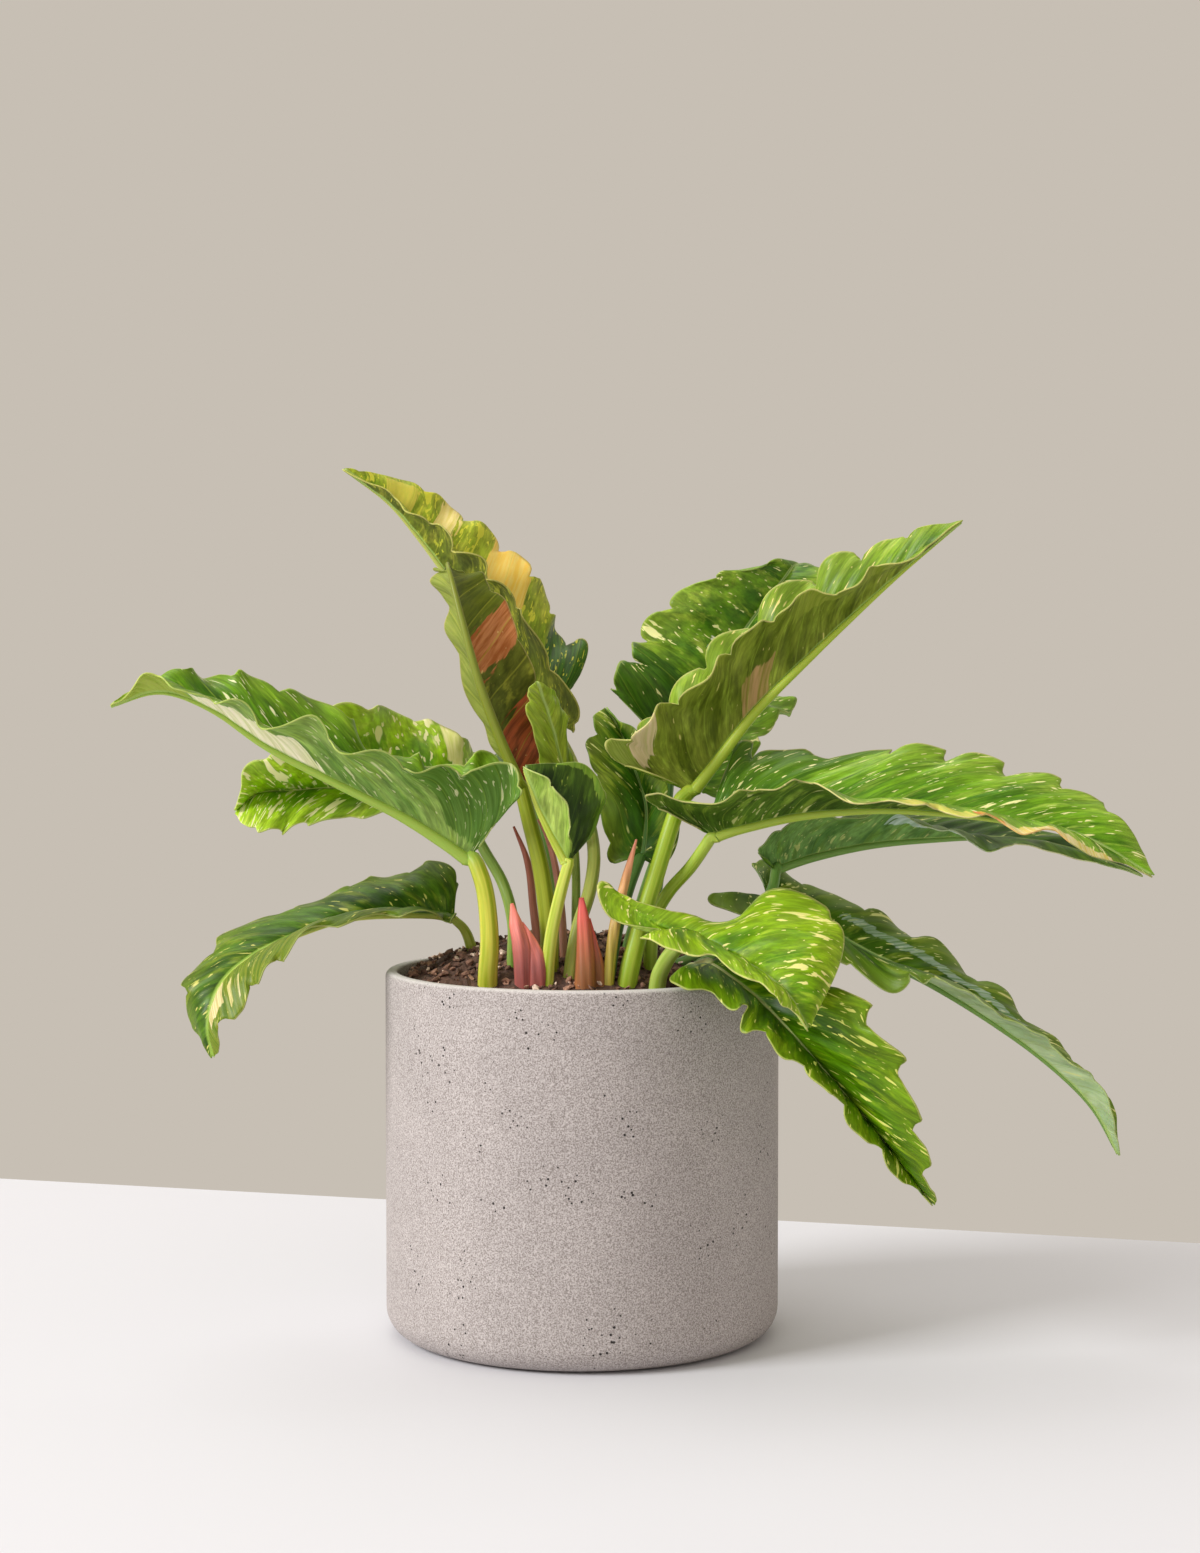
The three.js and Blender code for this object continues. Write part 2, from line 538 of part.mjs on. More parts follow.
// Short thick creeping stem with stubby roots.
function buildRootstock(grow = 0) {
  const { x, y, top, halfLength, halfWidth, halfHeight } = rootstock;
  const middle = top - halfHeight;
  const rings = 10;
  const sides = 10;
  const vertices = [];
  const triangles = [];
  for (let i = 0; i <= rings; i += 1) {
    const s = -1 + (2 * i) / rings;
    const full = Math.max(0.25, (1 - Math.abs(s) ** 2.6) ** 0.45);
    const knob = 1 - 0.06 * ((i + 1) % 2);
    for (let k = 0; k < sides; k += 1) {
      const angle = (2 * Math.PI * (k + 0.5)) / sides;
      vertices.push(new THREE.Vector3(
        x + s * (halfLength + grow),
        y + (halfWidth * full * knob + grow) * Math.cos(angle),
        middle + (halfHeight * full * knob + grow) * Math.sin(angle),
      ));
    }
  }
  for (let i = 0; i < rings; i += 1) {
    for (let k = 0; k < sides; k += 1) {
      const a = i * sides + k;
      const b = i * sides + ((k + 1) % sides);
      triangles.push([a, b, b + sides], [a, b + sides, a + sides]);
    }
  }
  const last = rings * sides;
  for (let k = 1; k < sides - 1; k += 1) {
    triangles.push([0, k + 1, k], [last, last + k, last + k + 1]);
  }
  let solid = toSolid(meshFrom(vertices, triangles));
  const roots = [
    [[-44, -36, 130], [-58, -30, 100], [-66, -10, 66], [-60, 6, 40]],
    [[-24, -26, 126], [-30, 0, 96], [-22, 30, 70], [-30, 44, 36]],
    [[-4, -40, 124], [-8, -52, 90], [-20, -60, 56], [-14, -56, 28]],
    [[14, -26, 126], [22, 4, 100], [26, 34, 74], [44, 48, 44]],
    [[30, -40, 128], [40, -56, 96], [44, -58, 62], [34, -44, 34]],
    [[44, -34, 130], [60, -24, 104], [68, -2, 76], [62, 20, 46]],
  ];
  roots.forEach((root) => {
    const line = toVectors(root);
    const centres = [];
    const radii = [];
    for (let i = 0; i <= 6; i += 1) {
      centres.push(along(line, i / 6));
      radii.push(3.2 - 1.9 * (i / 6) + grow);
    }
    const end = centres[6].clone().sub(centres[5]).normalize();
    centres[6].addScaledVector(end, grow);
    solid = solid.add(toSolid(tube(centres, radii, 5)));
  });
  return solid;
}

function buildSoil() {
  let solid = toSolid(soilBlock());
  solid = solid.subtract(buildRootstock(gap));
  Object.values(leaves).forEach((leaf) => {
    solid = solid.subtract(toSolid(stalk(leaf, gap, stalkFoot - 1.2)));
  });
  Object.values(spears).forEach((shape) => {
    solid = solid.subtract(toSolid(spear(shape, gap, stalkFoot - 1.2)));
  });
  return solid;
}

const colours = {
  pot: [0xb5aba5, 0.85],
  soil: [0x4a3424, 0.95],
  rootstock: [0x7a5a3c, 0.9],
  leafLight: [0x7d9a3a, 0.4],
  leafDark: [0x3f6b33, 0.4],
  leafOrange: [0xa8693f, 0.45],
  sheath: [0xb5584e, 0.5],
};

const leafColour = {
  leaf_orange: 'leafOrange',
  leaf_front_right: 'leafLight',
  leaf_left_back: 'leafLight',
  leaf_tall_back: 'leafLight',
  leaf_small_front: 'leafLight',
};

const group = new THREE.Group();
group.name = 'potted_philodendron';

function add(name, geometry, look) {
  const [colour, roughness] = colours[look];
  const material = new THREE.MeshStandardMaterial({ color: colour, roughness, metalness: 0 });
  material.side = THREE.DoubleSide;
  geometry.computeVertexNormals();
  const mesh = new THREE.Mesh(geometry, material);
  mesh.name = name;
  group.add(mesh);
}

add('pot', buildPot(), 'pot');
add('soil', toGeometry(buildSoil()), 'soil');
add('rootstock', toGeometry(buildRootstock()), 'rootstock');
Object.entries(leaves).forEach(([name, leaf]) => {
  const whole = toSolid(blade(leaf)).add(toSolid(stalk(leaf)));
  add(name, toGeometry(largest(whole)), leafColour[name] ?? 'leafDark');
});
Object.entries(spears).forEach(([name, shape]) => {
  add(name, spear(shape), 'sheath');
});

export default group;
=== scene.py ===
# Ring of fire philodendron in a grey stone-effect planter, in metres, lit and seen as in the
# product picture.
import math
import random

import bpy
from mathutils import Matrix, Vector, noise


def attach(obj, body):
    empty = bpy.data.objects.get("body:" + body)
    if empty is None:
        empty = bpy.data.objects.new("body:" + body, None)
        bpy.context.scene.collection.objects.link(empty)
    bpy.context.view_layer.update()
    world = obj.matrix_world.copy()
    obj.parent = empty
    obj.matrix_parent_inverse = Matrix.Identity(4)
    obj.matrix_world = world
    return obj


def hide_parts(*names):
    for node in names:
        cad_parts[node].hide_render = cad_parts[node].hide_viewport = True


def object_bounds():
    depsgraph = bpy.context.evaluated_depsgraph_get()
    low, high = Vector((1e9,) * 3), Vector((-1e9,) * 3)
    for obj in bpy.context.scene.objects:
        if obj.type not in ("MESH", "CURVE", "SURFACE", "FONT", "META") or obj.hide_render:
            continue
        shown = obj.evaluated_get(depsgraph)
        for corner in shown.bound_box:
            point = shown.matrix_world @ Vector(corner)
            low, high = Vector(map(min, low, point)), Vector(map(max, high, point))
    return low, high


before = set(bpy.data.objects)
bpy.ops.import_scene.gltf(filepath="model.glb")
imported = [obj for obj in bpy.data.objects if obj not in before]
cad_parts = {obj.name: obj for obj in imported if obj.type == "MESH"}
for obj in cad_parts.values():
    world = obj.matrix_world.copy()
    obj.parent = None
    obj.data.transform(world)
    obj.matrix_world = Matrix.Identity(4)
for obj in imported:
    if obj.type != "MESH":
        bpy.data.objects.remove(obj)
cadLow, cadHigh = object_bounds()
bpy.ops.object.select_all(action="DESELECT")
random.seed(7)
mm = 0.001
mapScale = 10  # on the maps of leaves and stalks 1 stands for 100 mm
smoothStep = {"interpolation_type": "SMOOTHSTEP"}
evenStep = {"interpolation_type": "LINEAR"}
colourMix = {"data_type": "RGBA"}
colourMultiply = {"data_type": "RGBA", "blend_type": "MULTIPLY"}


def linear(hexColour):
    value = hexColour.lstrip("#")
    parts = [int(value[i:i + 2], 16) / 255 for i in (0, 2, 4)]
    return [c / 12.92 if c <= 0.04045 else ((c + 0.055) / 1.055) ** 2.4 for c in parts] + [1.0]


def connect(tree, node, inputs):
    for key, value in inputs.items():
        if isinstance(value, bpy.types.Node):
            value = next(socket for socket in value.outputs if socket.enabled)
        if isinstance(value, bpy.types.NodeSocket):
            tree.links.new(value, node.inputs[key])
        else:
            node.inputs[key].default_value = value


def addNode(tree, kind, settings=None, inputs=None):
    node = tree.nodes.new("ShaderNode" + kind)
    for key, value in (settings or {}).items():
        setattr(node, key, value)
    connect(tree, node, inputs or {})
    return node


def newMaterial(name, inputs):
    material = bpy.data.materials.new(name)
    material.use_nodes = True
    tree = material.node_tree
    shader = tree.nodes["Principled BSDF"]
    connect(tree, shader, inputs)
    return material, tree, shader


def layer(tree, ground, over, value, low, high, least=0.0, most=1.0, easing=smoothStep):
    # Lays one colour over another where a pattern or a distance goes from low to high.
    share = addNode(tree, "MapRange", easing, {
        "Value": value, "From Min": low, "From Max": high, "To Min": least, "To Max": most})
    return addNode(tree, "Mix", colourMix, {"Factor": share, "A": ground, "B": over})


def shade(tree, ground, value, low, high, dim, bright, easing=evenStep):
    # Makes a colour dimmer and brighter as a pattern goes from low to high.
    share = addNode(tree, "MapRange", easing, {
        "Value": value, "From Min": low, "From Max": high, "To Min": dim, "To Max": bright})
    return addNode(tree, "Mix", colourMultiply, {"Factor": 1.0, "A": ground, "B": share})


def streakPattern(tree, vector, scale, detail, place=(0, 0, 0), roughness=0.5, distortion=0.0):
    stretched = addNode(tree, "Mapping", inputs={
        "Vector": vector, "Location": place, "Scale": scale})
    return addNode(tree, "TexNoise", inputs={
        "Vector": stretched, "Scale": 1.0, "Detail": detail, "Roughness": roughness,
        "Distortion": distortion})


def along(points, t):
    # A smooth line through the points, t from 0 to 1.
    spans = len(points) - 1
    at = min(max(t, 0.0), 1.0) * spans
    i = min(int(at), spans - 1)
    w = at - i
    p1, p2 = points[i], points[i + 1]
    p0 = points[i - 1] if i > 0 else p1 * 2 - p2
    p3 = points[i + 2] if i + 2 <= spans else p2 * 2 - p1
    return 0.5 * (2 * p1 + (p2 - p0) * w + (2 * p0 - 5 * p1 + 4 * p2 - p3) * w * w
                  + (3 * p1 - p0 - 3 * p2 + p3) * w ** 3)


def between(sizes, t):
    at = t * (len(sizes) - 1)
    i = min(int(at), len(sizes) - 2)
    return sizes[i] + (sizes[i + 1] - sizes[i]) * (at - i)


def lineLength(points):
    return sum((b - a).length for a, b in zip(points, points[1:]))


def vectors(points):
    return [Vector(p) * mm for p in points]


def gridPiece(name, columns, rows, place):
    bpy.ops.mesh.primitive_grid_add(x_subdivisions=columns, y_subdivisions=rows, size=1)
    piece = bpy.context.object
    piece.name = name
    piece.data.name = name
    for vertex in piece.data.vertices:
        vertex.co = place(vertex.co.x + 0.5, vertex.co.y + 0.5)
    return piece


def closeShell(threshold=1e-7):
    bpy.ops.object.mode_set(mode="EDIT")
    bpy.ops.mesh.select_all(action="SELECT")
    bpy.ops.mesh.remove_doubles(threshold=threshold)
    bpy.ops.mesh.fill_holes(sides=0)
    bpy.ops.mesh.normals_make_consistent(inside=False)
    bpy.ops.object.mode_set(mode="OBJECT")


def tubePiece(name, points, radiusAt, sides, rows, flat=1.0):
    rings = []
    sideways = Vector((1, 0, 0))
    for i in range(rows + 1):
        t = i / rows
        ahead = (along(points, min(t + 0.01, 1)) - along(points, max(t - 0.01, 0))).normalized()
        sideways = (sideways - ahead * sideways.dot(ahead)).normalized()
        rings.append((along(points, t), sideways.copy(), ahead.cross(sideways)))

    def place(x, y):
        middle, first, second = rings[round(y * rows)]
        radius = radiusAt(y)
        turn = 2 * math.pi * x
        return middle + first * radius * math.cos(turn) + second * radius * flat * math.sin(turn)

    piece = gridPiece(name, sides, rows, place)
    closeShell()
    return piece


def joinPieces(pieces, name):
    bpy.ops.object.select_all(action="DESELECT")
    for piece in pieces:
        piece.select_set(True)
    bpy.context.view_layer.objects.active = pieces[0]
    bpy.ops.object.join()
    whole = bpy.context.object
    whole.name = name
    whole.data.name = name
    return whole


def finishPiece(piece, nodeName):
    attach(piece, "root")
    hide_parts(nodeName)


view = {
    "place": (0.0091, -1.398, 0.340), "pitch": 2.34, "lens": 63.77, "sensor": 36,
    "floorColour": "#DEDEE3", "floorEdge": (0.0, 0.306), "floorTurn": -15.2,
    "floorDrop": 0.4 * mm, "floorWidth": 7, "floorDepth": 5,
    "wallColour": "#C7BFB4", "wallStrength": 1.0, "lightsAim": (0, 0, 0.2),
    "lights": {
        "key": {"place": (-6.8, -3.4, 4.6), "size": 3.3, "power": 690},
        "fill": {"place": (-0.3, -2.0, 1.8), "size": 1.6, "power": 6},
        "top": {"place": (-0.9, 1.2, 4.0), "size": 2.6, "power": 46},
    },
}
bpy.ops.object.camera_add(location=view["place"],
                          rotation=(math.radians(90 - view["pitch"]), 0, 0))
camera = bpy.context.object
camera.data.lens = view["lens"]
camera.data.sensor_width = view["sensor"]
bpy.context.scene.camera = camera
bpy.context.scene.view_settings.view_transform = "Standard"

bpy.ops.mesh.primitive_plane_add(size=1)
floor = bpy.context.object
floor.name = "floor"
turn = math.radians(view["floorTurn"])
across = Vector((math.cos(turn), math.sin(turn), 0)) * view["floorWidth"]
back = Vector((-math.sin(turn), math.cos(turn), 0)) * view["floorDepth"]
edge = Vector((*view["floorEdge"], -view["floorDrop"]))
for vertex in floor.data.vertices:
    vertex.co = edge + across * vertex.co.x + back * (vertex.co.y - 0.5)
# Painted board, rolled and left matt: an even pale tone with no sheen.
floor.data.materials.append(newMaterial("paintedBoard", {
    "Base Color": linear(view["floorColour"]), "Roughness": 0.6})[0])

world = bpy.data.worlds.new("studio")
bpy.context.scene.world = world
world.use_nodes = True
connect(world.node_tree, world.node_tree.nodes["Background"], {
    "Color": linear(view["wallColour"]), "Strength": view["wallStrength"]})

for name, values in view["lights"].items():
    bpy.ops.object.light_add(type="AREA", location=values["place"])
    light = bpy.context.object
    light.name = name
    light.data.size = values["size"]
    light.data.energy = values["power"]
    aim = Vector(view["lightsAim"]) - light.location
    light.rotation_euler = aim.to_track_quat("-Z", "Y").to_euler()
print("camera, floor and lights")


potValues = {
    "radius": 100 * mm, "height": 185 * mm, "wall": 6 * mm, "floor": 9 * mm, "sides": 192,
    "footRound": 14 * mm, "lipRound": 3 * mm, "innerRound": 1.4 * mm, "innerRow": 30 * mm,
    # lip is the colour of a painted highlight along the rim's top.
    # pit is near-black: painted shade inside the air holes.
    "light": "#C4BCBA", "dark": "#857C78", "pit": "#2A2422", "lip": "#E6E1DF",
    "grain": 0.7 * mm, "clouds": 45 * mm, "pitSpacing": 3.4 * mm, "pitGroups": 26 * mm,
    "pitSize": 0.2, "lipHighlightFrom": 1.6 * mm, "lipHighlightFully": 0.4 * mm, "lipHighlightStrength": 0.6,
}


def stoneMaterial(values):
    # Cast stone, poured in a mould and left raw: matt, speckled with fine sand, with small holes
    # in loose groups where air was caught, painted near-black as the shade inside them, and a
    # paler rim, a painted highlight where the rounded lip catches the light.
    # The sand is finer than the picture can show, so its speckle is drawn 0.7 mm coarse.
    material, tree, shader = newMaterial("castStone", {"Roughness": 0.78})
    coords = addNode(tree, "TexCoord").outputs["Object"]
    grain = addNode(tree, "TexNoise", inputs={
        "Vector": coords, "Scale": 1 / values["grain"], "Detail": 1.5, "Roughness": 0.7})
    speckled = layer(tree, linear(values["dark"]), linear(values["light"]), grain, 0.36, 0.64,
                     easing=evenStep)
    clouds = addNode(tree, "TexNoise", inputs={
        "Vector": coords, "Scale": 1 / values["clouds"], "Detail": 3.0})
    clouded = shade(tree, speckled, clouds, 0.3, 0.7, 0.94, 1.05)
    holes = addNode(tree, "TexVoronoi", inputs={
        "Vector": coords, "Scale": 1 / values["pitSpacing"], "Randomness": 1.0})
    groups = addNode(tree, "TexNoise", inputs={
        "Vector": coords, "Scale": 1 / values["pitGroups"], "Detail": 2.0})
    pitReach = addNode(tree, "MapRange", inputs={
        "Value": groups, "From Min": 0.45, "From Max": 0.68,
        "To Min": 0.0, "To Max": values["pitSize"]})
    # The air holes are painted near-black, as painted shade inside them, over a small dent in the
    # bump.
    pit = addNode(tree, "Math", {"operation": "LESS_THAN"}, {0: holes, 1: pitReach})
    pitted = addNode(tree, "Mix", colourMix, {
        "Factor": pit, "A": clouded, "B": linear(values["pit"])})
    level = addNode(tree, "SeparateXYZ", inputs={"Vector": coords}).outputs["Z"]
    # The top of the lip is made paler: a painted highlight where the rounded lip catches the
    # light.
    colour = layer(tree, pitted, linear(values["lip"]), level,
                   values["height"] - values["lipHighlightFrom"],
                   values["height"] - values["lipHighlightFully"], 0.0, values["lipHighlightStrength"], evenStep)
    height = addNode(tree, "Math", {"operation": "SUBTRACT"}, {0: grain, 1: pit})
    bump = addNode(tree, "Bump", inputs={
        "Height": height, "Strength": 0.1, "Distance": 0.25 * mm})
    connect(tree, shader, {"Base Color": colour, "Normal": bump})
    return material


def buildPot(values):
    radius, height = values["radius"], values["height"]
    foot, lip, innerLip = values["footRound"], values["lipRound"], values["innerRound"]
    inner = radius - values["wall"]
    wallRows = 9
    profile = []

    def corner(r, z, size, startAngle, steps):
        for i in range(steps + 1):
            angle = math.radians(startAngle + 90 * i / steps)
            profile.append((r + size * math.cos(angle), z + size * math.sin(angle)))

    corner(radius - foot, foot, foot, -90, 12)
    for i in range(1, wallRows):
        profile.append((radius, foot + (height - foot - lip) * i / wallRows))
    corner(radius - lip, height - lip, lip, 0, 8)
    corner(inner + innerLip, height - innerLip, innerLip, 90, 6)
    profile.append((inner, height - values["innerRow"]))
    profile.append((inner, values["floor"]))
    rows = len(profile) - 1

    def place(x, y):
        r, z = profile[round(y * rows)]
        turn = 2 * math.pi * x
        return Vector((r * math.cos(turn), r * math.sin(turn), z))

    pot = gridPiece("stonePot", values["sides"], rows, place)
    closeShell()
    bpy.ops.object.shade_smooth_by_angle(angle=math.radians(50))
    pot.data.materials.append(stoneMaterial(values))
    finishPiece(pot, "pot")


buildPot(potValues)
print("pot")


soilValues = {
    "edge": 172 * mm, "rise": 29 * mm, "reach": 100 * mm, "middle": (-6 * mm, 14 * mm),
    "radius": 93.7 * mm, "bottom": 120 * mm, "sides": 150, "rings": 46, "calmEdge": 6 * mm,
    "crumbs": ((260, 3, 1.8 * mm), (700, 9, 1.0 * mm)),
    "chips": 1400, "chipSize": (3.0 * mm, 7.0 * mm), "chipKinds": (0.45, 0.7, 1),
    "chipWidth": (0.25, 0.42), "chipHeight": (0.12, 0.3), "chipLean": 0.8,
    "chipTones": (0.1, 0.2, 0.35, 0.45, 0.55, 0.75, 1.0), "finesToneWithGapShade": 0.14,
    "dark": "#34221A", "mid": "#84604E", "chip": "#C4967C", "pale": "#F2D6C2",
    "fibre": 1.4 * mm,
}


def soilHeight(x, y):
    middleX, middleY = soilValues["middle"]
    far = ((x - middleX) ** 2 + (y - middleY) ** 2) / soilValues["reach"] ** 2
    swell = 0.9 * mm * math.sin(x * 310 + 1) * math.cos(y * 270)
    swell += 0.6 * mm * math.sin(x * 130 - y * 190)
    return soilValues["edge"] + soilValues["rise"] * max(0, 1 - far) ** 0.9 + swell


def barkMaterial(values):
    # Composted pine bark, milled and kept damp: dull dark fines, each crumb its own brown,
    # with paler chips where the bark was split. The fines are darker than damp bark alone:
    # partly painted shade in the gaps between the crumbs.
    material, tree, shader = newMaterial("compostedBark", {"Roughness": 0.85})
    coords = addNode(tree, "TexCoord").outputs["Object"]
    pieceTone = addNode(tree, "Attribute", {"attribute_name": "tone"}).outputs["Fac"]
    brown = addNode(tree, "ValToRGB", inputs={"Fac": pieceTone})
    brown.color_ramp.elements[0].color = linear(values["dark"])
    brown.color_ramp.elements[1].color = linear(values["pale"])
    for position, key in ((0.45, "mid"), (0.85, "chip")):
        brown.color_ramp.elements.new(position).color = linear(values[key])
    fibre = addNode(tree, "TexNoise", inputs={
        "Vector": coords, "Scale": 1 / values["fibre"], "Detail": 4.0, "Roughness": 0.7})
    colour = shade(tree, brown, fibre, 0.3, 0.7, 0.5, 1.45)
    bump = addNode(tree, "Bump", inputs={
        "Height": fibre, "Strength": 0.8, "Distance": 0.8 * mm})
    connect(tree, shader, {"Base Color": colour, "Normal": bump})
    return material


def setTone(mesh, toneAt):
    tone = mesh.attributes.new("tone", "FLOAT", "POINT")
    for item, vertex in zip(tone.data, mesh.vertices):
        item.value = toneAt(vertex)


def buildChip(pattern, values, number):
    turn = random.uniform(0, 2 * math.pi)
    r = values["radius"] * 0.97 * math.sqrt(random.random())
    x, y = r * math.cos(turn), r * math.sin(turn)
    size = random.uniform(*values["chipSize"]) * random.choice(values["chipKinds"])
    chip = pattern.copy()
    chip.data = pattern.data.copy()
    bpy.context.collection.objects.link(chip)
    spin = random.uniform(0, math.pi)
    lean = random.uniform(-values["chipLean"], values["chipLean"])
    stretch = Vector((size * 0.5, size * random.uniform(*values["chipWidth"]),
                      size * random.uniform(*values["chipHeight"])))
    turned = Matrix.Rotation(spin, 3, "Z") @ Matrix.Rotation(-lean, 3, "Y")
    for vertex in chip.data.vertices:
        rough = 1 + 0.25 * noise.noise(vertex.co * 2 + Vector((number, 0, 0)))
        sink = random.uniform(-0.4, 0.5) * mm
        vertex.co = (turned @ (vertex.co * stretch * rough)
                     + Vector((x, y, soilHeight(x, y) + sink)))
    tone = random.choice(values["chipTones"])
    setTone(chip.data, lambda vertex: tone)
    return chip


def buildSoil(values):
    radius, rings = values["radius"], values["rings"]

    def place(x, y):
        turn = 2 * math.pi * x
        if y > 1 - 1.5 / rings:
            return Vector((radius * math.cos(turn), radius * math.sin(turn), values["bottom"]))
        r = radius * min(1, y / (1 - 2 / rings))
        px, py = r * math.cos(turn), r * math.sin(turn)
        crumbs = sum(noise.noise(Vector((px * perMetre, py * perMetre, level))) * high
                     for perMetre, level, high in values["crumbs"])
        calm = min(1, (radius - r) / values["calmEdge"])
        return Vector((px, py, soilHeight(px, py) - 1.0 * mm + crumbs * calm))

    soil = gridPiece("pottingMix", values["sides"], rings, place)
    closeShell(1e-6)
    # The fines between the crumbs are toned very dark: partly the damp bark's own colour, partly
    # painted shade in the gaps.
    setTone(soil.data, lambda vertex: values["finesToneWithGapShade"] + 0.22 * noise.noise(vertex.co * 400))
    bpy.ops.mesh.primitive_ico_sphere_add(subdivisions=1, radius=1)
    pattern = bpy.context.object
    pieces = [soil, *(buildChip(pattern, values, k) for k in range(values["chips"]))]
    bpy.data.objects.remove(pattern)
    material = barkMaterial(values)
    for piece in pieces:
        piece.data.materials.clear()
        piece.data.materials.append(material)
    finishPiece(joinPieces(pieces, "pottingMix"), "soil")


buildSoil(soilValues)
print("potting mix")


def blotch(side, start, end, colour, second, inner=0.0, outer=1.1, strength=0.95, beneath=False):
    # A place of other colours on one half of a blade: start and end in mm along the side
    # veins, inner and outer as shares from the rib to the margin. Flecks lie over it if it is
    # beneath them.
    return {"side": side, "start": start, "end": end, "colour": colour, "second": second,
            "inner": inner, "outer": outer, "strength": strength, "beneath": beneath}


# What a leaf doesn't say itself.
leafValues = {
    "thickness": 0.7 * mm, "columns": 44, "rowStep": 1.3 * mm,
    "veinPitch": 13 * mm, "veinSlant": 0.9, "pleat": 0.6 * mm, "arch": 0.09, "lump": 2.0 * mm,
    "hook": 0.7, "ruffle": 2.4, "cut": 1.15, "fade": 0.5, "toothSpread": 0.3, "toothVary": 0.7,
    "groove": 0.5 * mm, "grooveWidth": 1.6 * mm, "tooth": "scallop", "tones": "green",
    "stalkSides": 16, "stalkSteps": 24, "ribSteps": 26,
    "stalkFoot": 149.6, "rootstock": (-2, -36), "crowd": (0.96, 0.84),
    "fleckStretch": 1.0, "calm": 1.0, "own": {}, "upper": [], "under": [],
}
greens = {
    "lime": {"base": "#82A60E", "deep": "#4E7E06", "light": "#A8C232", "fleck": "#F4F0B4",
        "under": "#9AB450", "underDeep": "#7C9C3C", "amount": 0.525},
    "green": {"base": "#5E8E0C", "deep": "#2C5A06", "light": "#90AE32", "fleck": "#EEEAA4",
        "under": "#8CAC5A", "underDeep": "#6C9040", "amount": 0.495},
    "dark": {"base": "#466F0E", "deep": "#1E3E04", "light": "#74962A", "fleck": "#DCDC8C",
        "under": "#6C9048", "underDeep": "#4C7030", "amount": 0.465},
    "olive": {"base": "#94A428", "deep": "#6A8A14", "light": "#B8B840", "fleck": "#EBD98A",
        "under": "#66721E", "underDeep": "#48540F", "amount": 0.46},
}
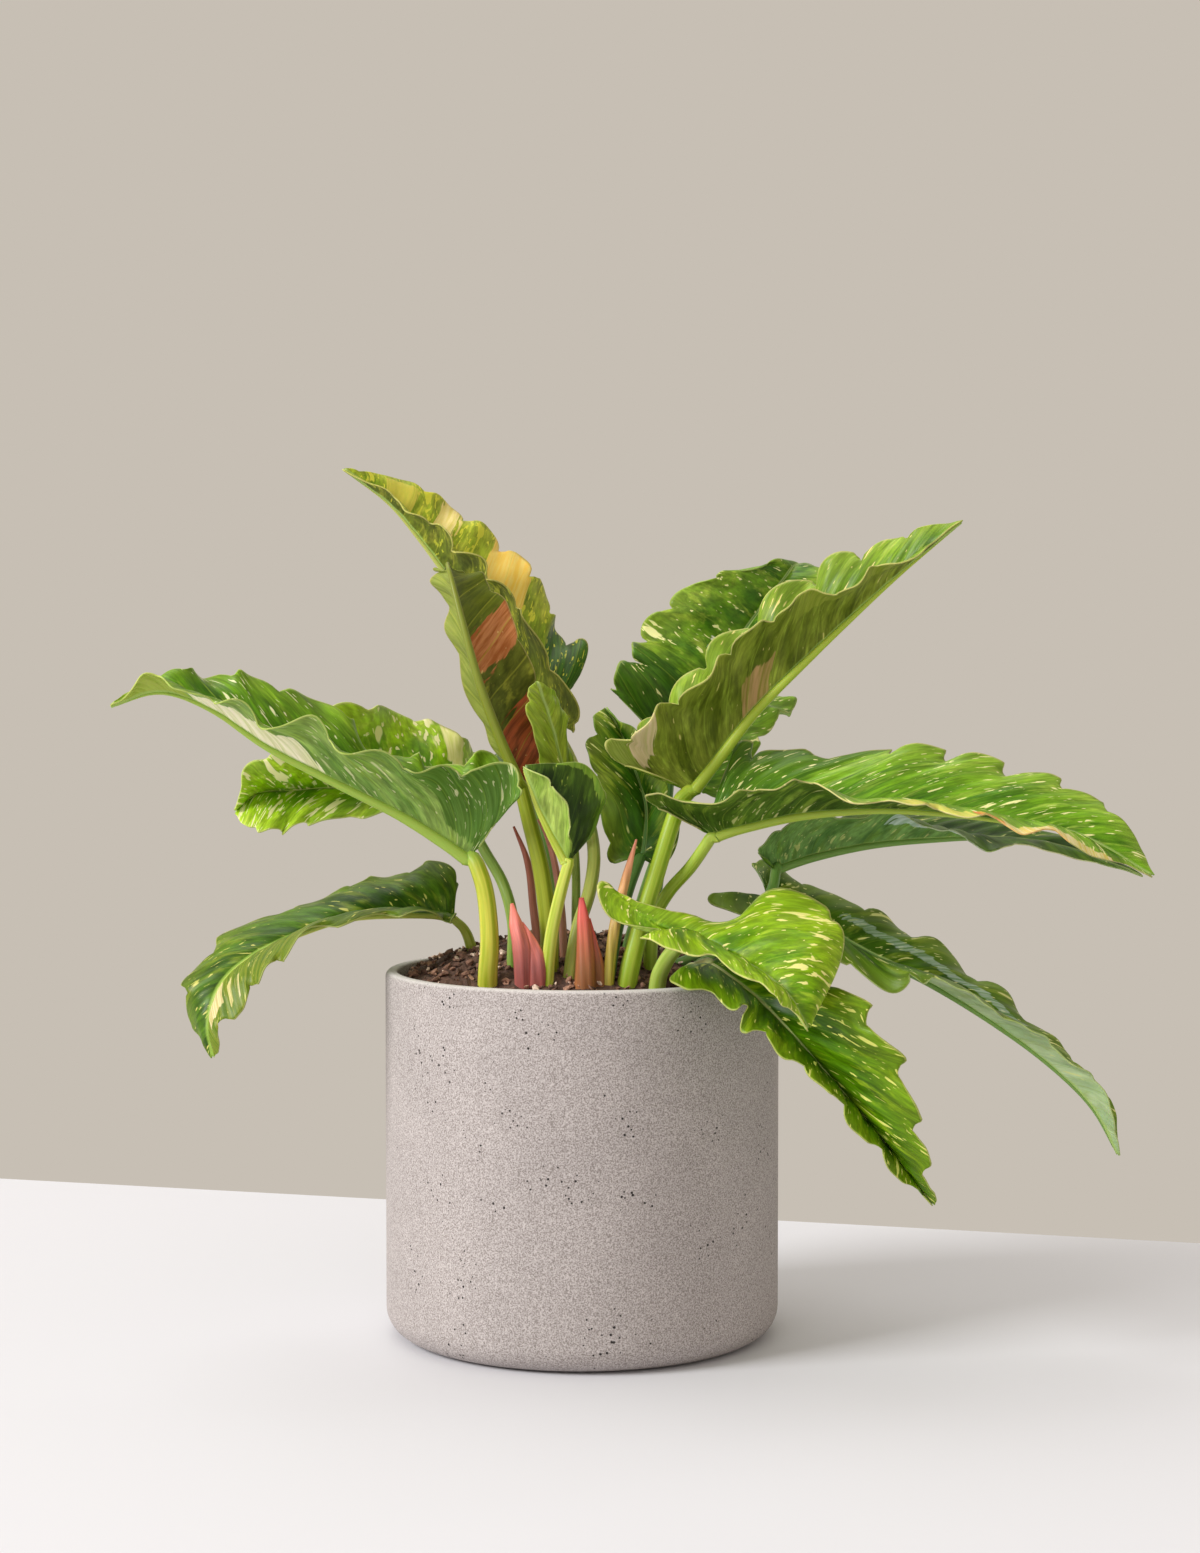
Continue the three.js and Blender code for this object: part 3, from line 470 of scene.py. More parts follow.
# Points are in mm: the petiole runs up to the blade, and from there the rib and both
# margins run to the tip. Radii are the stalk's at its foot and at the blade.
leaves = {
    "leaf_left_upper": {
        "petiole": [[-46, -55, 182], [-45, -55, 205], [-47, -52, 227], [-51, -48, 240],
            [-54, -45, 245]],
        "rib": [[-57, -46, 247], [-67, -48, 254], [-89, -53, 268], [-122, -60, 285],
            [-152, -66, 301], [-178, -72, 319], [-202, -80, 327]],
        "left": [[-27, -68, 281], [-53, -65, 290], [-83, -86, 289], [-117, -90, 305],
            [-151, -92, 315], [-178, -94, 323], [-202, -91, 334]],
        "right": [[-41, -26, 292], [-71, -26, 290], [-96, -23, 294], [-125, -40, 319],
            [-156, -53, 332], [-183, -54, 335], [-203, -70, 334]],
        "tip": [-226, -88, 319], "radii": [5.2, 3.8], "wave": 3.4, "waves": 6, "pitch": 24,
        "depth": 4, "stalk": ("#93A418", "#CFCC50", "#9EC052"), "margin": "#C9CF7A", "seed": 1.0,
        "ruffle": 6.5, "cut": 1.4,
        "own": {"under": "#94B05A", "underDeep": "#5E8636", "fleck": "#ECEAB8",
            "underAmount": 0.5},
        "upper": [blotch(1, 178, 260, "#98A81C", "#7C9418", strength=0.8)],
        "under": [blotch(-1, 102, 156, "#FBF4D6", "#DCDCA8", outer=0.45),
            blotch(-1, 158, 260, "#B4C058", "#98AC38", strength=0.85),
            # Darker green near the base of this underside: painted shade of the folds there.
            blotch(-1, -90, 44, "#5E8636", "#44681E", inner=0.1, strength=0.85, beneath=True)],
    },
    "leaf_left_back": {
        "petiole": [[-34, -38, 191], [-34, -36, 211], [-39, -30, 230], [-49, -15, 246],
            [-63, 5, 268]],
        "rib": [[-67, 5, 269], [-83, 6, 273], [-106, 5, 276], [-128, 2, 277], [-148, -4, 276],
            [-163, -10, 275]],
        "left": [[-64, -9, 255], [-86, -16, 264], [-114, -22, 264], [-138, -25, 259],
            [-152, -32, 257], [-163, -32, 258]],
        "right": [[-54, 37, 289], [-69, 32, 307], [-93, 31, 314], [-115, -20, 320],
            [-144, -37, 301], [-165, -34, 288]],
        "tip": [-174, -22, 266], "radii": [3.3, 2.6], "wave": 1.6, "waves": 4, "pitch": 17,
        "depth": 3, "tooth": "hook", "tones": "lime", "stalk": ("#6E8F35", "#95AE52"),
        "margin": "#D9D98A", "ribColour": "#DCE890", "seed": 2.0, "veinSlant": 0.35,
        "fleckStretch": 1.6,
        "own": {"base": "#9CC812", "deep": "#508C06", "light": "#C4D64C", "under": "#9CC040",
            "underDeep": "#6C9C24", "amount": 0.555},
        "upper": [blotch(1, 13, 22, "#F2ECA8", "#DCDC80", inner=0.5)],
    },
    "leaf_left_low": {
        "petiole": [[-56, 15, 186], [-58, 14, 197], [-61, 13, 204], [-66, 11, 209]],
        "rib": [[-73, 9, 212], [-91, 4, 213], [-118, -6, 212], [-142, -16, 205], [-164, -26, 195],
            [-179, -35, 182], [-185, -42, 164]],
        "left": [[-66, -10, 211], [-86, -24, 215], [-114, -36, 213], [-141, -46, 202],
            [-154, -51, 188], [-165, -51, 175], [-177, -50, 160]],
        "right": [[-65, 24, 234], [-86, 30, 235], [-115, 25, 226], [-148, 13, 216],
            [-182, -3, 201], [-198, -20, 182], [-195, -32, 162]],
        "tip": [-182, -46, 145], "radii": [3.4, 2.2], "wave": 1.8, "waves": 5, "pitch": 24,
        "depth": 4.5, "tooth": "hook", "tones": "dark", "stalk": ("#92A430", "#BCC65C"),
        "margin": "#C9C77A", "seed": 3.0, "cut": 1.5, "fade": 0.25, "ribColour": "#98B84A",
        "own": {"base": "#4C7014", "deep": "#203E06", "light": "#7C8C28", "fleck": "#C8C468",
            "amount": 0.48},
        "upper": [blotch(-1, 125, 146, "#E4D6A4", "#C4B478", inner=0.03, outer=0.5),
            blotch(-1, 118, 121, "#E0D49C", "#C4B870", inner=0.3, outer=0.75),
            blotch(-1, 110, 112, "#E0D49C", "#C4B870", inner=0.35, outer=0.8),
            blotch(-1, 98, 100, "#D4CC88", "#B4B060", inner=0.3, outer=0.7),
            blotch(-1, 55, 170, "#86902C", "#587418", strength=0.8, beneath=True)],
    },
    "leaf_tall_back": {
        "petiole": [[-6, -55, 182], [-2, -48, 209], [4, -38, 228], [6, -25, 247], [1, -5, 271],
            [-6, 18, 291], [-17, 32, 310]],
        "rib": [[-21, 36, 315], [-33, 44, 336], [-49, 52, 361], [-69, 58, 385], [-86, 62, 407],
            [-103, 64, 426]],
        "left": [[-1, 11, 307], [-22, 19, 352], [-40, 27, 378], [-57, 30, 394], [-75, 39, 410],
            [-98, 51, 426]],
        "right": [[3, 56, 345], [-14, 74, 358], [-21, 75, 382], [-41, 77, 402], [-62, 79, 418],
            [-91, 76, 436]],
        "tip": [-128, 62, 444], "radii": [3.6, 3.0], "wave": 3, "waves": 6, "pitch": 24,
        "depth": 6, "tones": "olive", "stalk": ("#8C9A3E", "#B2B95E"), "margin": "#D8CE7C",
        "seed": 4.0, "veinSlant": 0.5,
        "own": {"fleck": "#D2D040", "amount": 0.55, "underAmount": 0.52},
        "upper": [blotch(1, 64, 92, "#F0C452", "#F0D272", inner=0.3),
            blotch(1, 115, 127, "#F2DE92", "#DCC868", inner=0.2),
            blotch(1, 140, 157, "#CDBF4C", "#BCB644", outer=0.8),
            # Dark green over the basal lobes: partly the top's own darker green, partly painted
            # shade where the lobes lie in shadow.
            blotch(1, -160, 38, "#42701A", "#284E08", beneath=True)],
        # The same dark green on the under face: partly its own tone, partly painted shade.
        "under": [blotch(1, -160, 38, "#42701A", "#284E08", beneath=True)],
    },
    "leaf_orange": {
        "petiole": [[-16, -48, 191], [-16, -48, 209], [-20, -44, 239], [-26, -38, 263],
            [-30, -34, 279]],
        "rib": [[-32, -33, 285], [-41, -30, 305], [-51, -26, 332], [-59, -20, 360],
            [-65, -12, 381], [-68, -2, 390]],
        "left": [[-13, -12, 296], [-20, -7, 311], [-24, -5, 333], [-36, 1, 365], [-48, 10, 381],
            [-58, 17, 387]],
        "right": [[-37, -10, 288], [-51, -2, 308], [-63, 2, 341], [-70, 9, 367], [-75, 14, 383],
            [-75, 19, 388]],
        "tip": [-67, 14, 387], "radii": [5.2, 3.6], "wave": 1.6, "waves": 5, "pitch": 22,
        "depth": 2.5, "tones": "olive", "stalk": ("#748210", "#9FA834", "#7A8430"),
        "margin": "#C9B877", "seed": 5.0, "veinSlant": 0.45, "ribColour": "#7E8238",
        "own": {"under": "#5C6420", "underDeep": "#42480F"},
        "under": [blotch(-1, 58, 74, "#A0582A", "#C88452", beneath=True),
            blotch(-1, 74, 150, "#647018", "#4E5A12", strength=0.85, beneath=True),
            blotch(-1, -40, 41, "#7C3A1E", "#B85A34", beneath=True),
            blotch(1, -30, 200, "#9AA450", "#7E8C3A", inner=0.3, strength=0.8)],
    },
    "leaf_small_front": {
        "petiole": [[-17, -60, 181], [-15, -60, 205], [-11, -60, 225], [-6, -60, 244]],
        "rib": [[-8, -60, 247], [-14, -61, 258], [-20, -62, 270], [-24, -63, 280]],
        "left": [[-5, -70, 256], [-5, -71, 267], [-11, -72, 277], [-17, -70, 284]],
        "right": [[4, -46, 254], [11, -48, 267], [10, -50, 281], [-2, -55, 291]],
        "tip": [-28, -64, 290], "radii": [3.7, 2.8], "wave": 0.8, "waves": 2, "pitch": 16,
        "depth": 1.6, "stalk": ("#98AE24", "#D2DA66"), "margin": "#CBD08A", "seed": 6.0,
        "own": {"under": "#A6BC5C", "underDeep": "#86A440", "base": "#2C460C", "deep": "#182C04",
            "light": "#5C7A24", "fleck": "#9CAE48", "amount": 0.47, "underAmount": 0.5},
        "upper": [blotch(1, -60, -3, "#8CAA3C", "#6E9430", inner=0.3, strength=0.9),
            blotch(1, -3, 30, "#8CAA3C", "#6E9430", inner=0.86, strength=0.9)],
    },
    "leaf_small_olive": {
        "petiole": [[-3, -23, 188], [-3, -22, 212], [-3, -24, 238], [-5, -32, 262],
            [-8, -38, 276]],
        "rib": [[-9, -38, 286], [-12, -38, 299], [-16, -38, 313], [-19, -38, 322]],
        "left": [[-17, -46, 287], [-23, -49, 301], [-26, -50, 318], [-26, -46, 325]],
        "right": [[-5, -27, 291], [-8, -26, 306], [-9, -26, 317], [-13, -30, 325]],
        "tip": [-22, -38, 331], "radii": [2.4, 2.0], "wave": 0.8, "waves": 2, "pitch": 17,
        "depth": 1.5, "stalk": ("#7A9436", "#9CB058"), "margin": "#A8A85A", "seed": 17.0,
        "own": {"base": "#98A834", "deep": "#6E8420", "under": "#8E9E34", "underDeep": "#6E8024",
            "amount": 0.44},
    },
    "leaf_right_tall": {
        "petiole": [[22, -58, 181], [28, -54, 208], [34, -50, 228], [47, -42, 268],
            [53, -40, 277]],
        "rib": [[55, -40, 280], [66, -40, 294], [85, -42, 318], [109, -46, 342], [130, -52, 362],
            [155, -60, 385]],
        "left": [[29, -7, 299], [44, -17, 322], [71, -26, 352], [103, -30, 377], [130, -43, 393],
            [158, -52, 402]],
        "right": [[12, -55, 296], [33, -60, 312], [63, -61, 338], [92, -67, 364], [118, -74, 375],
            [150, -75, 387]],
        "tip": [185, -70, 410], "radii": [5.2, 3.8], "wave": 3.4, "waves": 6, "pitch": 23,
        "depth": 5, "tones": "olive", "stalk": ("#84A414", "#AEC244"), "margin": "#D0C880",
        "seed": 7.0, "ruffle": 5.5, "cut": 1.5,
        "own": {"under": "#808C30", "underDeep": "#4A580E", "base": "#729620", "deep": "#4C7210",
            "light": "#9CB040", "amount": 0.48},
        "under": [blotch(1, 72, 90, "#BC9468", "#8C7C3C", outer=0.36, strength=0.8),
            blotch(1, 2, 18, "#E0C8A4", "#CBB98A", inner=0.5),
            blotch(1, -60, 2, "#9CAA50", "#7E9038", inner=0.2, strength=0.85),
            blotch(1, 96, 170, "#98A040", "#7E8C2C", inner=0.6, strength=0.7)],
    },
    "leaf_right_back": {
        "petiole": [[33, -10, 192], [37, 0, 220], [41, 12, 250], [44, 22, 275], [45, 26, 293]],
        "rib": [[48, 27, 300], [63, 30, 324], [76, 34, 345], [90, 40, 365], [105, 48, 384],
            [113, 62, 393]],
        "left": [[15, 10, 327], [23, 14, 341], [28, 33, 352], [41, 30, 369], [65, 33, 384],
            [95, 38, 391]],
        "right": [[63, 14, 304], [81, 16, 322], [96, 20, 343], [110, 26, 360], [123, 36, 377],
            [128, 55, 388]],
        "tip": [124, 92, 390], "radii": [3.6, 3.0], "wave": 2.8, "waves": 6, "pitch": 22,
        "depth": 6, "stalk": ("#4F7A35", "#6C9448"), "margin": "#A9B95E", "seed": 8.0,
        "veinSlant": 0.42, "cut": 1.4, "fleckStretch": 1.7,
        "own": {"base": "#6C9420", "deep": "#2E5C0A", "light": "#A0B440", "amount": 0.485},
        "upper": [blotch(-1, -120, 44, "#3E6C14", "#22460A", strength=0.85, beneath=True),
            blotch(-1, 66, 72, "#F0EEDC", "#D8D8C0", inner=0.06, outer=0.26)],
    },
    "leaf_right_mid": {
        "petiole": [[34, -35, 192], [36, -36, 213], [43, -38, 227], [54, -42, 240],
            [64, -46, 255]],
        "rib": [[67, -47, 257], [80, -50, 261], [107, -56, 267], [140, -64, 270], [171, -70, 269],
            [204, -76, 265], [239, -80, 258]],
        "left": [[74, -28, 296], [93, -28, 297], [133, -36, 296], [169, -48, 299],
            [201, -52, 292], [231, -59, 283], [257, -69, 269]],
        "right": [[30, -62, 275], [68, -83, 275], [97, -87, 284], [134, -99, 275],
            [167, -104, 272], [199, -106, 265], [230, -100, 256]],
        "tip": [276, -84, 237], "radii": [3.6, 3.0], "wave": 2.2, "waves": 7, "pitch": 26,
        "depth": 5.5, "tooth": "hook", "stalk": ("#8AAA20", "#B2C850"), "margin": "#D7C98A",
        "seed": 9.0,
        "own": {"under": "#567624", "underDeep": "#3A5418", "base": "#72A01C", "deep": "#38680A",
            "light": "#A4BE48", "underAmount": 0.49},
        "upper": [blotch(-1, -60, 56, "#42700E", "#2C5606", strength=0.7, beneath=True),
            blotch(1, 128, 176, "#E8B850", "#D2643A", inner=0.88, strength=0.9),
            blotch(1, 140, 200, "#EBDCA8", "#D9C45E", inner=0.8, strength=0.9),
            blotch(1, 96, 128, "#D9CB5E", "#BFC45A", inner=0.82, strength=0.9)],
        "under": [blotch(1, 128, 176, "#E8B04C", "#D2643A", inner=0.88),
            blotch(1, 60, 128, "#D9CB8E", "#BFC47A", inner=0.9, strength=0.8)],
    },
    "leaf_right_under": {
        "petiole": [[54, -36, 184], [66, -35, 195], [84, -31, 209], [95, -21, 226],
            [98, -12, 236]],
        "rib": [[100, -9, 238], [118, -12, 244], [145, -18, 250], [174, -24, 253],
            [203, -30, 254], [237, -38, 250]],
        "left": [[108, 20, 253], [130, 17, 262], [155, 13, 264], [186, 7, 262], [214, -4, 259],
            [245, -22, 253]],
        "right": [[88, -29, 248], [104, -35, 261], [135, -44, 266], [165, -48, 264],
            [193, -49, 251], [227, -51, 249]],
        "tip": [279, -48, 235], "radii": [3.2, 2.6], "wave": 1.8, "waves": 6, "pitch": 26,
        "depth": 3, "tones": "dark", "stalk": ("#5E8C3A", "#7FA552"), "margin": "#B9C583",
        "seed": 10.0,
        "own": {"under": "#7AA056", "underDeep": "#527A3A", "underAmount": 0.51},
        # The pale bluish-white band on this half is a painted highlight: the glare along its rim.
        "under": [blotch(1, 80, 124, "#D4E0DC", "#A8C0AC", inner=0.4, strength=0.85),
            blotch(1, 128, 172, "#EDE3BC", "#D5D89A", inner=0.3)],
    },
    "leaf_right_low": {
        "petiole": [[43, -18, 183], [60, -8, 193], [80, 0, 207], [95, 4, 220]],
        "rib": [[100, 4, 218], [124, 0, 206], [145, -6, 194], [173, -12, 181], [203, -20, 163],
            [232, -28, 142], [254, -36, 120]],
        "left": [[88, 22, 239], [118, 21, 226], [155, 18, 210], [186, 11, 191], [217, -2, 169],
            [243, -14, 145], [263, -28, 123]],
        "right": [[63, -10, 222], [109, -25, 198], [155, -25, 179], [175, -38, 185],
            [204, -43, 169], [234, -44, 151], [259, -46, 126]],
        "tip": [267, -42, 95], "radii": [3.2, 2.6], "wave": 1.8, "waves": 7, "pitch": 26,
        "depth": 4, "tones": "dark", "stalk": ("#56803A", "#7CA052"), "margin": "#A8B263",
        "seed": 11.0, "calm": 0.3,
        "own": {"under": "#BCD0A0", "underDeep": "#A0BC88", "base": "#567C18", "deep": "#244606",
            "light": "#8CA034", "amount": 0.5},
        # The pale bluish band along this half is a painted highlight on the ridge of its fold.
        "upper": [blotch(-1, 55, 142, "#CCDCD0", "#6E9460", inner=0.34, outer=0.52, strength=0.6)],
    },
    "leaf_front_right": {
        "petiole": [[37, -60, 182], [40, -62, 193], [46, -66, 202], [56, -72, 211]],
        "rib": [[59, -76, 210], [67, -88, 205], [78, -103, 199], [88, -118, 193], [97, -129, 185]],
        "left": [[14, -72, 219], [11, -62, 235], [57, -72, 217], [95, -73, 230], [119, -98, 223],
            [122, -109, 205]],
        "right": [[26, -98, 209], [55, -111, 205], [71, -130, 199], [81, -145, 193],
            [93, -148, 186]],
        "tip": [105, -136, 171], "radii": [4.4, 3.6], "wave": 1.4, "waves": 4, "pitch": 22,
        "depth": 4, "tooth": "hook", "tones": "lime", "stalk": ("#94B03C", "#B4C864"),
        "margin": "#E3D591", "seed": 12.0,
        "own": {"base": "#7A9E08", "fleck": "#E6E08C"},
    },
    "leaf_front_low": {
        "petiole": [[52, -48, 185], [57, -54, 191], [62, -62, 194]],
        "rib": [[66, -70, 193], [81, -86, 183], [97, -94, 168], [114, -100, 149],
            [132, -102, 128], [150, -100, 106]],
        "left": [[79, -48, 199], [107, -65, 195], [128, -114, 185], [147, -123, 160],
            [157, -122, 128], [164, -110, 100]],
        "right": [[42, -91, 190], [70, -105, 180], [79, -109, 168], [99, -117, 155],
            [121, -118, 133], [144, -110, 105]],
        "tip": [169, -94, 81], "radii": [3.8, 3.2], "wave": 1.8, "waves": 6, "pitch": 21,
        "depth": 5, "tooth": "hook", "stalk": ("#A0A454", "#C8C88C"), "margin": "#C9C474",
        "seed": 13.0,
        "own": {"base": "#4E7A04", "deep": "#2A4E02", "light": "#8CA818", "fleck": "#D8DA70",
            "amount": 0.51},
    },
    "leaf_inner_dark": {
        "petiole": [[13, -50, 181], [17, -46, 207], [23, -38, 228], [29, -28, 243]],
        "rib": [[31, -26, 249], [32, -22, 269], [26, -20, 289], [20, -18, 305]],
        "left": [[14, -26, 241], [8, -38, 273], [4, -32, 293], [6, -26, 310]],
        "right": [[42, -28, 239], [48, -31, 268], [34, -30, 288], [26, -26, 305]],
        "tip": [12, -16, 318], "radii": [3.4, 2.8], "wave": 1.4, "waves": 3, "pitch": 18,
        "depth": 4, "tones": "dark", "stalk": ("#48702E", "#618A42"), "margin": "#7C9A4A",
        "seed": 14.0,
        "own": {"base": "#3C6810", "deep": "#1A3A04", "light": "#98A836", "amount": 0.5},
    },
    "leaf_back_right": {
        "petiole": [[22, -10, 189], [30, 5, 217], [40, 25, 244], [51, 42, 266], [55, 50, 276]],
        "rib": [[58, 56, 281], [64, 82, 298], [71, 112, 312], [78, 145, 319], [85, 178, 315]],
        "left": [[38, 60, 285], [39, 84, 302], [39, 114, 319], [48, 150, 325], [65, 184, 319]],
        "right": [[75, 60, 269], [93, 84, 293], [107, 114, 311], [119, 150, 318], [110, 184, 307]],
        "tip": [91, 205, 299], "radii": [3.2, 2.6], "wave": 2.4, "waves": 6, "pitch": 25,
        "depth": 4, "tooth": "hook", "stalk": ("#5F8A3A", "#7FA552"), "margin": "#A9B95E",
        "seed": 15.0,
    },
    "leaf_back_left": {
        "petiole": [[-11, -15, 192], [-13, -5, 220], [-18, 8, 242], [-24, 22, 262],
            [-32, 34, 274]],
        "rib": [[-34, 38, 277], [-40, 62, 281], [-45, 95, 285], [-52, 130, 287], [-59, 165, 281]],
        "left": [[-53, 44, 269], [-65, 66, 276], [-74, 98, 285], [-78, 134, 289], [-76, 170, 280]],
        "right": [[-14, 44, 274], [-12, 66, 288], [-15, 98, 294], [-24, 134, 295],
            [-41, 170, 285]],
        "tip": [-66, 195, 266], "radii": [3.2, 2.6], "wave": 2.2, "waves": 5, "pitch": 24,
        "depth": 4, "tones": "dark", "stalk": ("#5F8A3A", "#7FA552"), "margin": "#A9B95E",
        "seed": 16.0,
    },
}


def leafMaterial(name, tones, values, blotches, under):
    # Variegated leaf skin, grown with a thin wax above and little below: a soft sheen on top,
    # a flatter paler back, dark green between the side veins, and flecks of cells without
    # green, drawn out along the veins as the leaf unrolled.
    material, tree, shader = newMaterial(name, {
        "Roughness": 0.46 if under else 0.36, "Specular IOR Level": 0.1 if under else 0.18,
        "Subsurface Weight": 0.12, "Subsurface Scale": 2 * mm,
        "Subsurface Radius": (0.6, 1.0, 0.2)})
    veinMap = addNode(tree, "UVMap", {"uv_map": "veins"})
    fromRib, alongVeins = addNode(tree, "SeparateXYZ", inputs={"Vector": veinMap}).outputs[:2]
    placeMap = addNode(tree, "UVMap", {"uv_map": "place"})
    across = addNode(tree, "SeparateXYZ", inputs={"Vector": placeMap}).outputs["X"]
    outward = addNode(tree, "Math", {"operation": "ABSOLUTE"}, {0: across})
    seed, calm = values["seed"], values["calm"]

    def streaks(lengthMm, widthMm, detail, shift):
        place = (seed * 1.7 + shift, shift * 3.1, 0.0)
        return streakPattern(tree, veinMap, (100 / lengthMm, 100 / widthMm, 1.0), detail, place,
                             0.6, 0.4)

    fleck, light = linear(tones["fleck"]), linear(tones["light"])
    base = linear(tones["under" if under else "base"])
    deep = linear(tones["underDeep" if under else "deep"])
    colour = layer(tree, deep, base, streaks(30, 14, 3.0, 0.0), 0.36, 0.62, 0.15)
    colour = layer(tree, colour, light, streaks(16, 7, 4.0, 4.0), 0.52, 0.66, 0.0,
                   0.4 if under else 0.6)
    colour = layer(tree, colour, light, outward, 0.35, 1.0, 0.0, 0.1 if under else 0.4)
    mottle, crinkleWithPaintedShade = streaks(7, 4, 4.0, 51.0), streaks(6, 1.7, 2.0, 71.0)
    # The crinkle pattern also bumps the skin further down. The dimming and brightening it gives
    # the colour here is painted shade and light on the crinkles.
    for pattern, low, high, dim, bright in ((mottle, 0.3, 0.7, 0.26, 0.22),
                                            (crinkleWithPaintedShade, 0.34, 0.66, 0.15, 0.14)):
        colour = shade(tree, colour, pattern, low, high, 1 - dim * calm, 1 + bright * calm,
                       smoothStep)

    # Blotches have torn edges, since each vein carries its own colour outward.
    torn = addNode(tree, "MapRange", {"clamp": False}, {
        "Value": streaks(30, 4, 3.0, 13.0), "To Min": -0.08, "To Max": 0.08})
    tornAlong = addNode(tree, "Math", {"operation": "ADD"}, {0: alongVeins, 1: torn})
    tornOutward = addNode(tree, "Math", {"operation": "MULTIPLY_ADD"}, {
        0: torn, 1: 1.5, 2: outward})
    grain = streaks(20, 2.2, 3.0, 21.0)

    def patchwork(ground, beneath):
        for patch in blotches:
            if patch["beneath"] != beneath:
                continue
            start, end = patch["start"] / 100, patch["end"] / 100
            inner, outer = patch["inner"], patch["outer"]
            mask = addNode(tree, "Math", {
                "operation": "GREATER_THAN" if patch["side"] > 0 else "LESS_THAN"}, {
                0: across, 1: 0.0})
            for value, low, high, most in ((tornAlong, start, start + 0.008, patch["strength"]),
                                           (tornAlong, end, end - 0.008, 1.0),
                                           (tornOutward, inner, inner + 0.03, 1.0),
                                           (tornOutward, outer + 0.03, outer, 1.0)):
                inside = addNode(tree, "MapRange", smoothStep, {
                    "Value": value, "From Min": low, "From Max": high, "To Max": most})
                mask = addNode(tree, "Math", {"operation": "MULTIPLY"}, {0: mask, 1: inside})
            tint = layer(tree, linear(patch["colour"]), linear(patch["second"]), grain,
                         0.35, 0.65)
            ground = addNode(tree, "Mix", colourMix, {"Factor": mask, "A": ground, "B": tint})
        return ground

    colour = patchwork(colour, True)
    cluster = addNode(tree, "MapRange", smoothStep, {
        "Value": streaks(60, 22, 1.0, 17.0), "From Min": 0.4, "From Max": 0.6,
        "To Min": -0.03, "To Max": 0.03})
    amount = tones.get("underAmount", tones["amount"] - 0.04) if under else tones["amount"]
    for lengthMm, widthMm, rare, shift in ((12, 5.5, 1.165, 9.0), (4.5, 2.2, 1.155, 33.0)):
        spots = streaks(lengthMm * values["fleckStretch"], widthMm, 1.5, shift)
        level = addNode(tree, "Math", {"operation": "ADD"}, {0: spots, 1: cluster})
        start = rare - amount
        colour = layer(tree, colour, fleck, level, start, start + 0.035, 0.0,
                       0.55 if under else 0.95)
    colour = patchwork(colour, False)

    fromVein = addNode(tree, "Math", {"operation": "PINGPONG"}, {
        0: alongVeins, 1: values["veinPitch"] * mapScale / 2})
    veinLine = addNode(tree, "MapRange", smoothStep, {
        "Value": fromVein, "From Min": 0.005, "From Max": 0.0,
        "To Min": 0.0, "To Max": 0.35 if under else 0.22})
    colour = addNode(tree, "Mix", colourMix, {"Factor": veinLine, "A": colour, "B": light})
    ribColour = values.get("ribColour", "#A8C46A" if under else "#B2C878")
    ribDistance = addNode(tree, "Math", {"operation": "ABSOLUTE"}, {0: fromRib})
    colour = layer(tree, colour, linear(ribColour), ribDistance, 0.018, 0.008, 0.0, 0.75)
    colour = layer(tree, colour, linear(values["margin"]), outward, 0.976, 0.994, 0.0, 0.5)
    crinkleHeight = addNode(tree, "Math", {"operation": "MULTIPLY"}, {0: crinkleWithPaintedShade, 1: 0.3 * calm})
    height = addNode(tree, "Math", {"operation": "MULTIPLY_ADD"}, {
        0: veinLine, 1: 0.7 if under else -1.2, 2: crinkleHeight})
    bump = addNode(tree, "Bump", inputs={
        "Height": height, "Strength": 0.5, "Distance": 0.35 * mm})
    connect(tree, shader, {"Base Color": colour, "Normal": bump})
    return material


def stalkMaterial(name, tones, bladeStart):
    # Leaf stalk, grown full of water under a tight smooth skin: a long soft highlight, light
    # that seeps in a little, and pale and dark streaks about 3 mm wide along its fibres. The
    # last tone is the midrib's, from where the blade starts.
    material, tree, shader = newMaterial(name, {
        "Roughness": 0.36, "Specular IOR Level": 0.25,
        "Subsurface Weight": 0.15, "Subsurface Scale": 3 * mm})
    stalkMap = addNode(tree, "UVMap", {"uv_map": "place"})
    around, upward = addNode(tree, "SeparateXYZ", inputs={"Vector": stalkMap}).outputs[:2]
    dark, pale, midrib = linear(tones[0]), linear(tones[1]), linear(tones[-1])
    streaks = streakPattern(tree, stalkMap, (9.0, 1.2, 1.0), 3.0)
    colour = layer(tree, dark, pale, streaks, 0.35, 0.65, easing=evenStep)
    fromSeam = addNode(tree, "Math", {"operation": "PINGPONG"}, {0: around, 1: 0.79})
    colour = layer(tree, colour, pale, fromSeam, 0.765, 0.785, 0.0, 0.65)
    colour = layer(tree, colour, midrib, upward, bladeStart, bladeStart + 0.5, 0.0, 0.85)
    connect(tree, shader, {"Base Color": colour})
    return material


def tooth(phase, shape):
    # 0.35 at the crest of a lobe, -1.1 at the bottom of the cut after it.
    f = phase - math.floor(phase)
    if shape == "scallop":
        value = math.sin(math.pi * f) ** 0.7 - 0.65
    elif f < 0.7:
        value = math.sin(math.pi / 2 * f / 0.7) ** 0.8 - 0.65
    else:
        value = (1 - (f - 0.7) / 0.3) ** 1.4 - 0.65
    return value if value > 0 else value * 1.7


def writeMaps(piece, veinAt, placeAt):
    # The grid's own map holds 0 to 1 across and along. Two others take its place.
    layers = piece.data.uv_layers
    veins = layers.new(name="veins")
    places = layers.new(name="place")
    own = layers[0]
    for i in range(len(own.data)):
        x, y = own.data[i].uv
        veins.data[i].uv = veinAt(x, y)
        places.data[i].uv = placeAt(x, y)
    layers.remove(layers[0])


def ribShare(y):
    # The rows stop short of the joint and the tip, where the blade would close to a point.
    return 0.02 + 0.97 * y


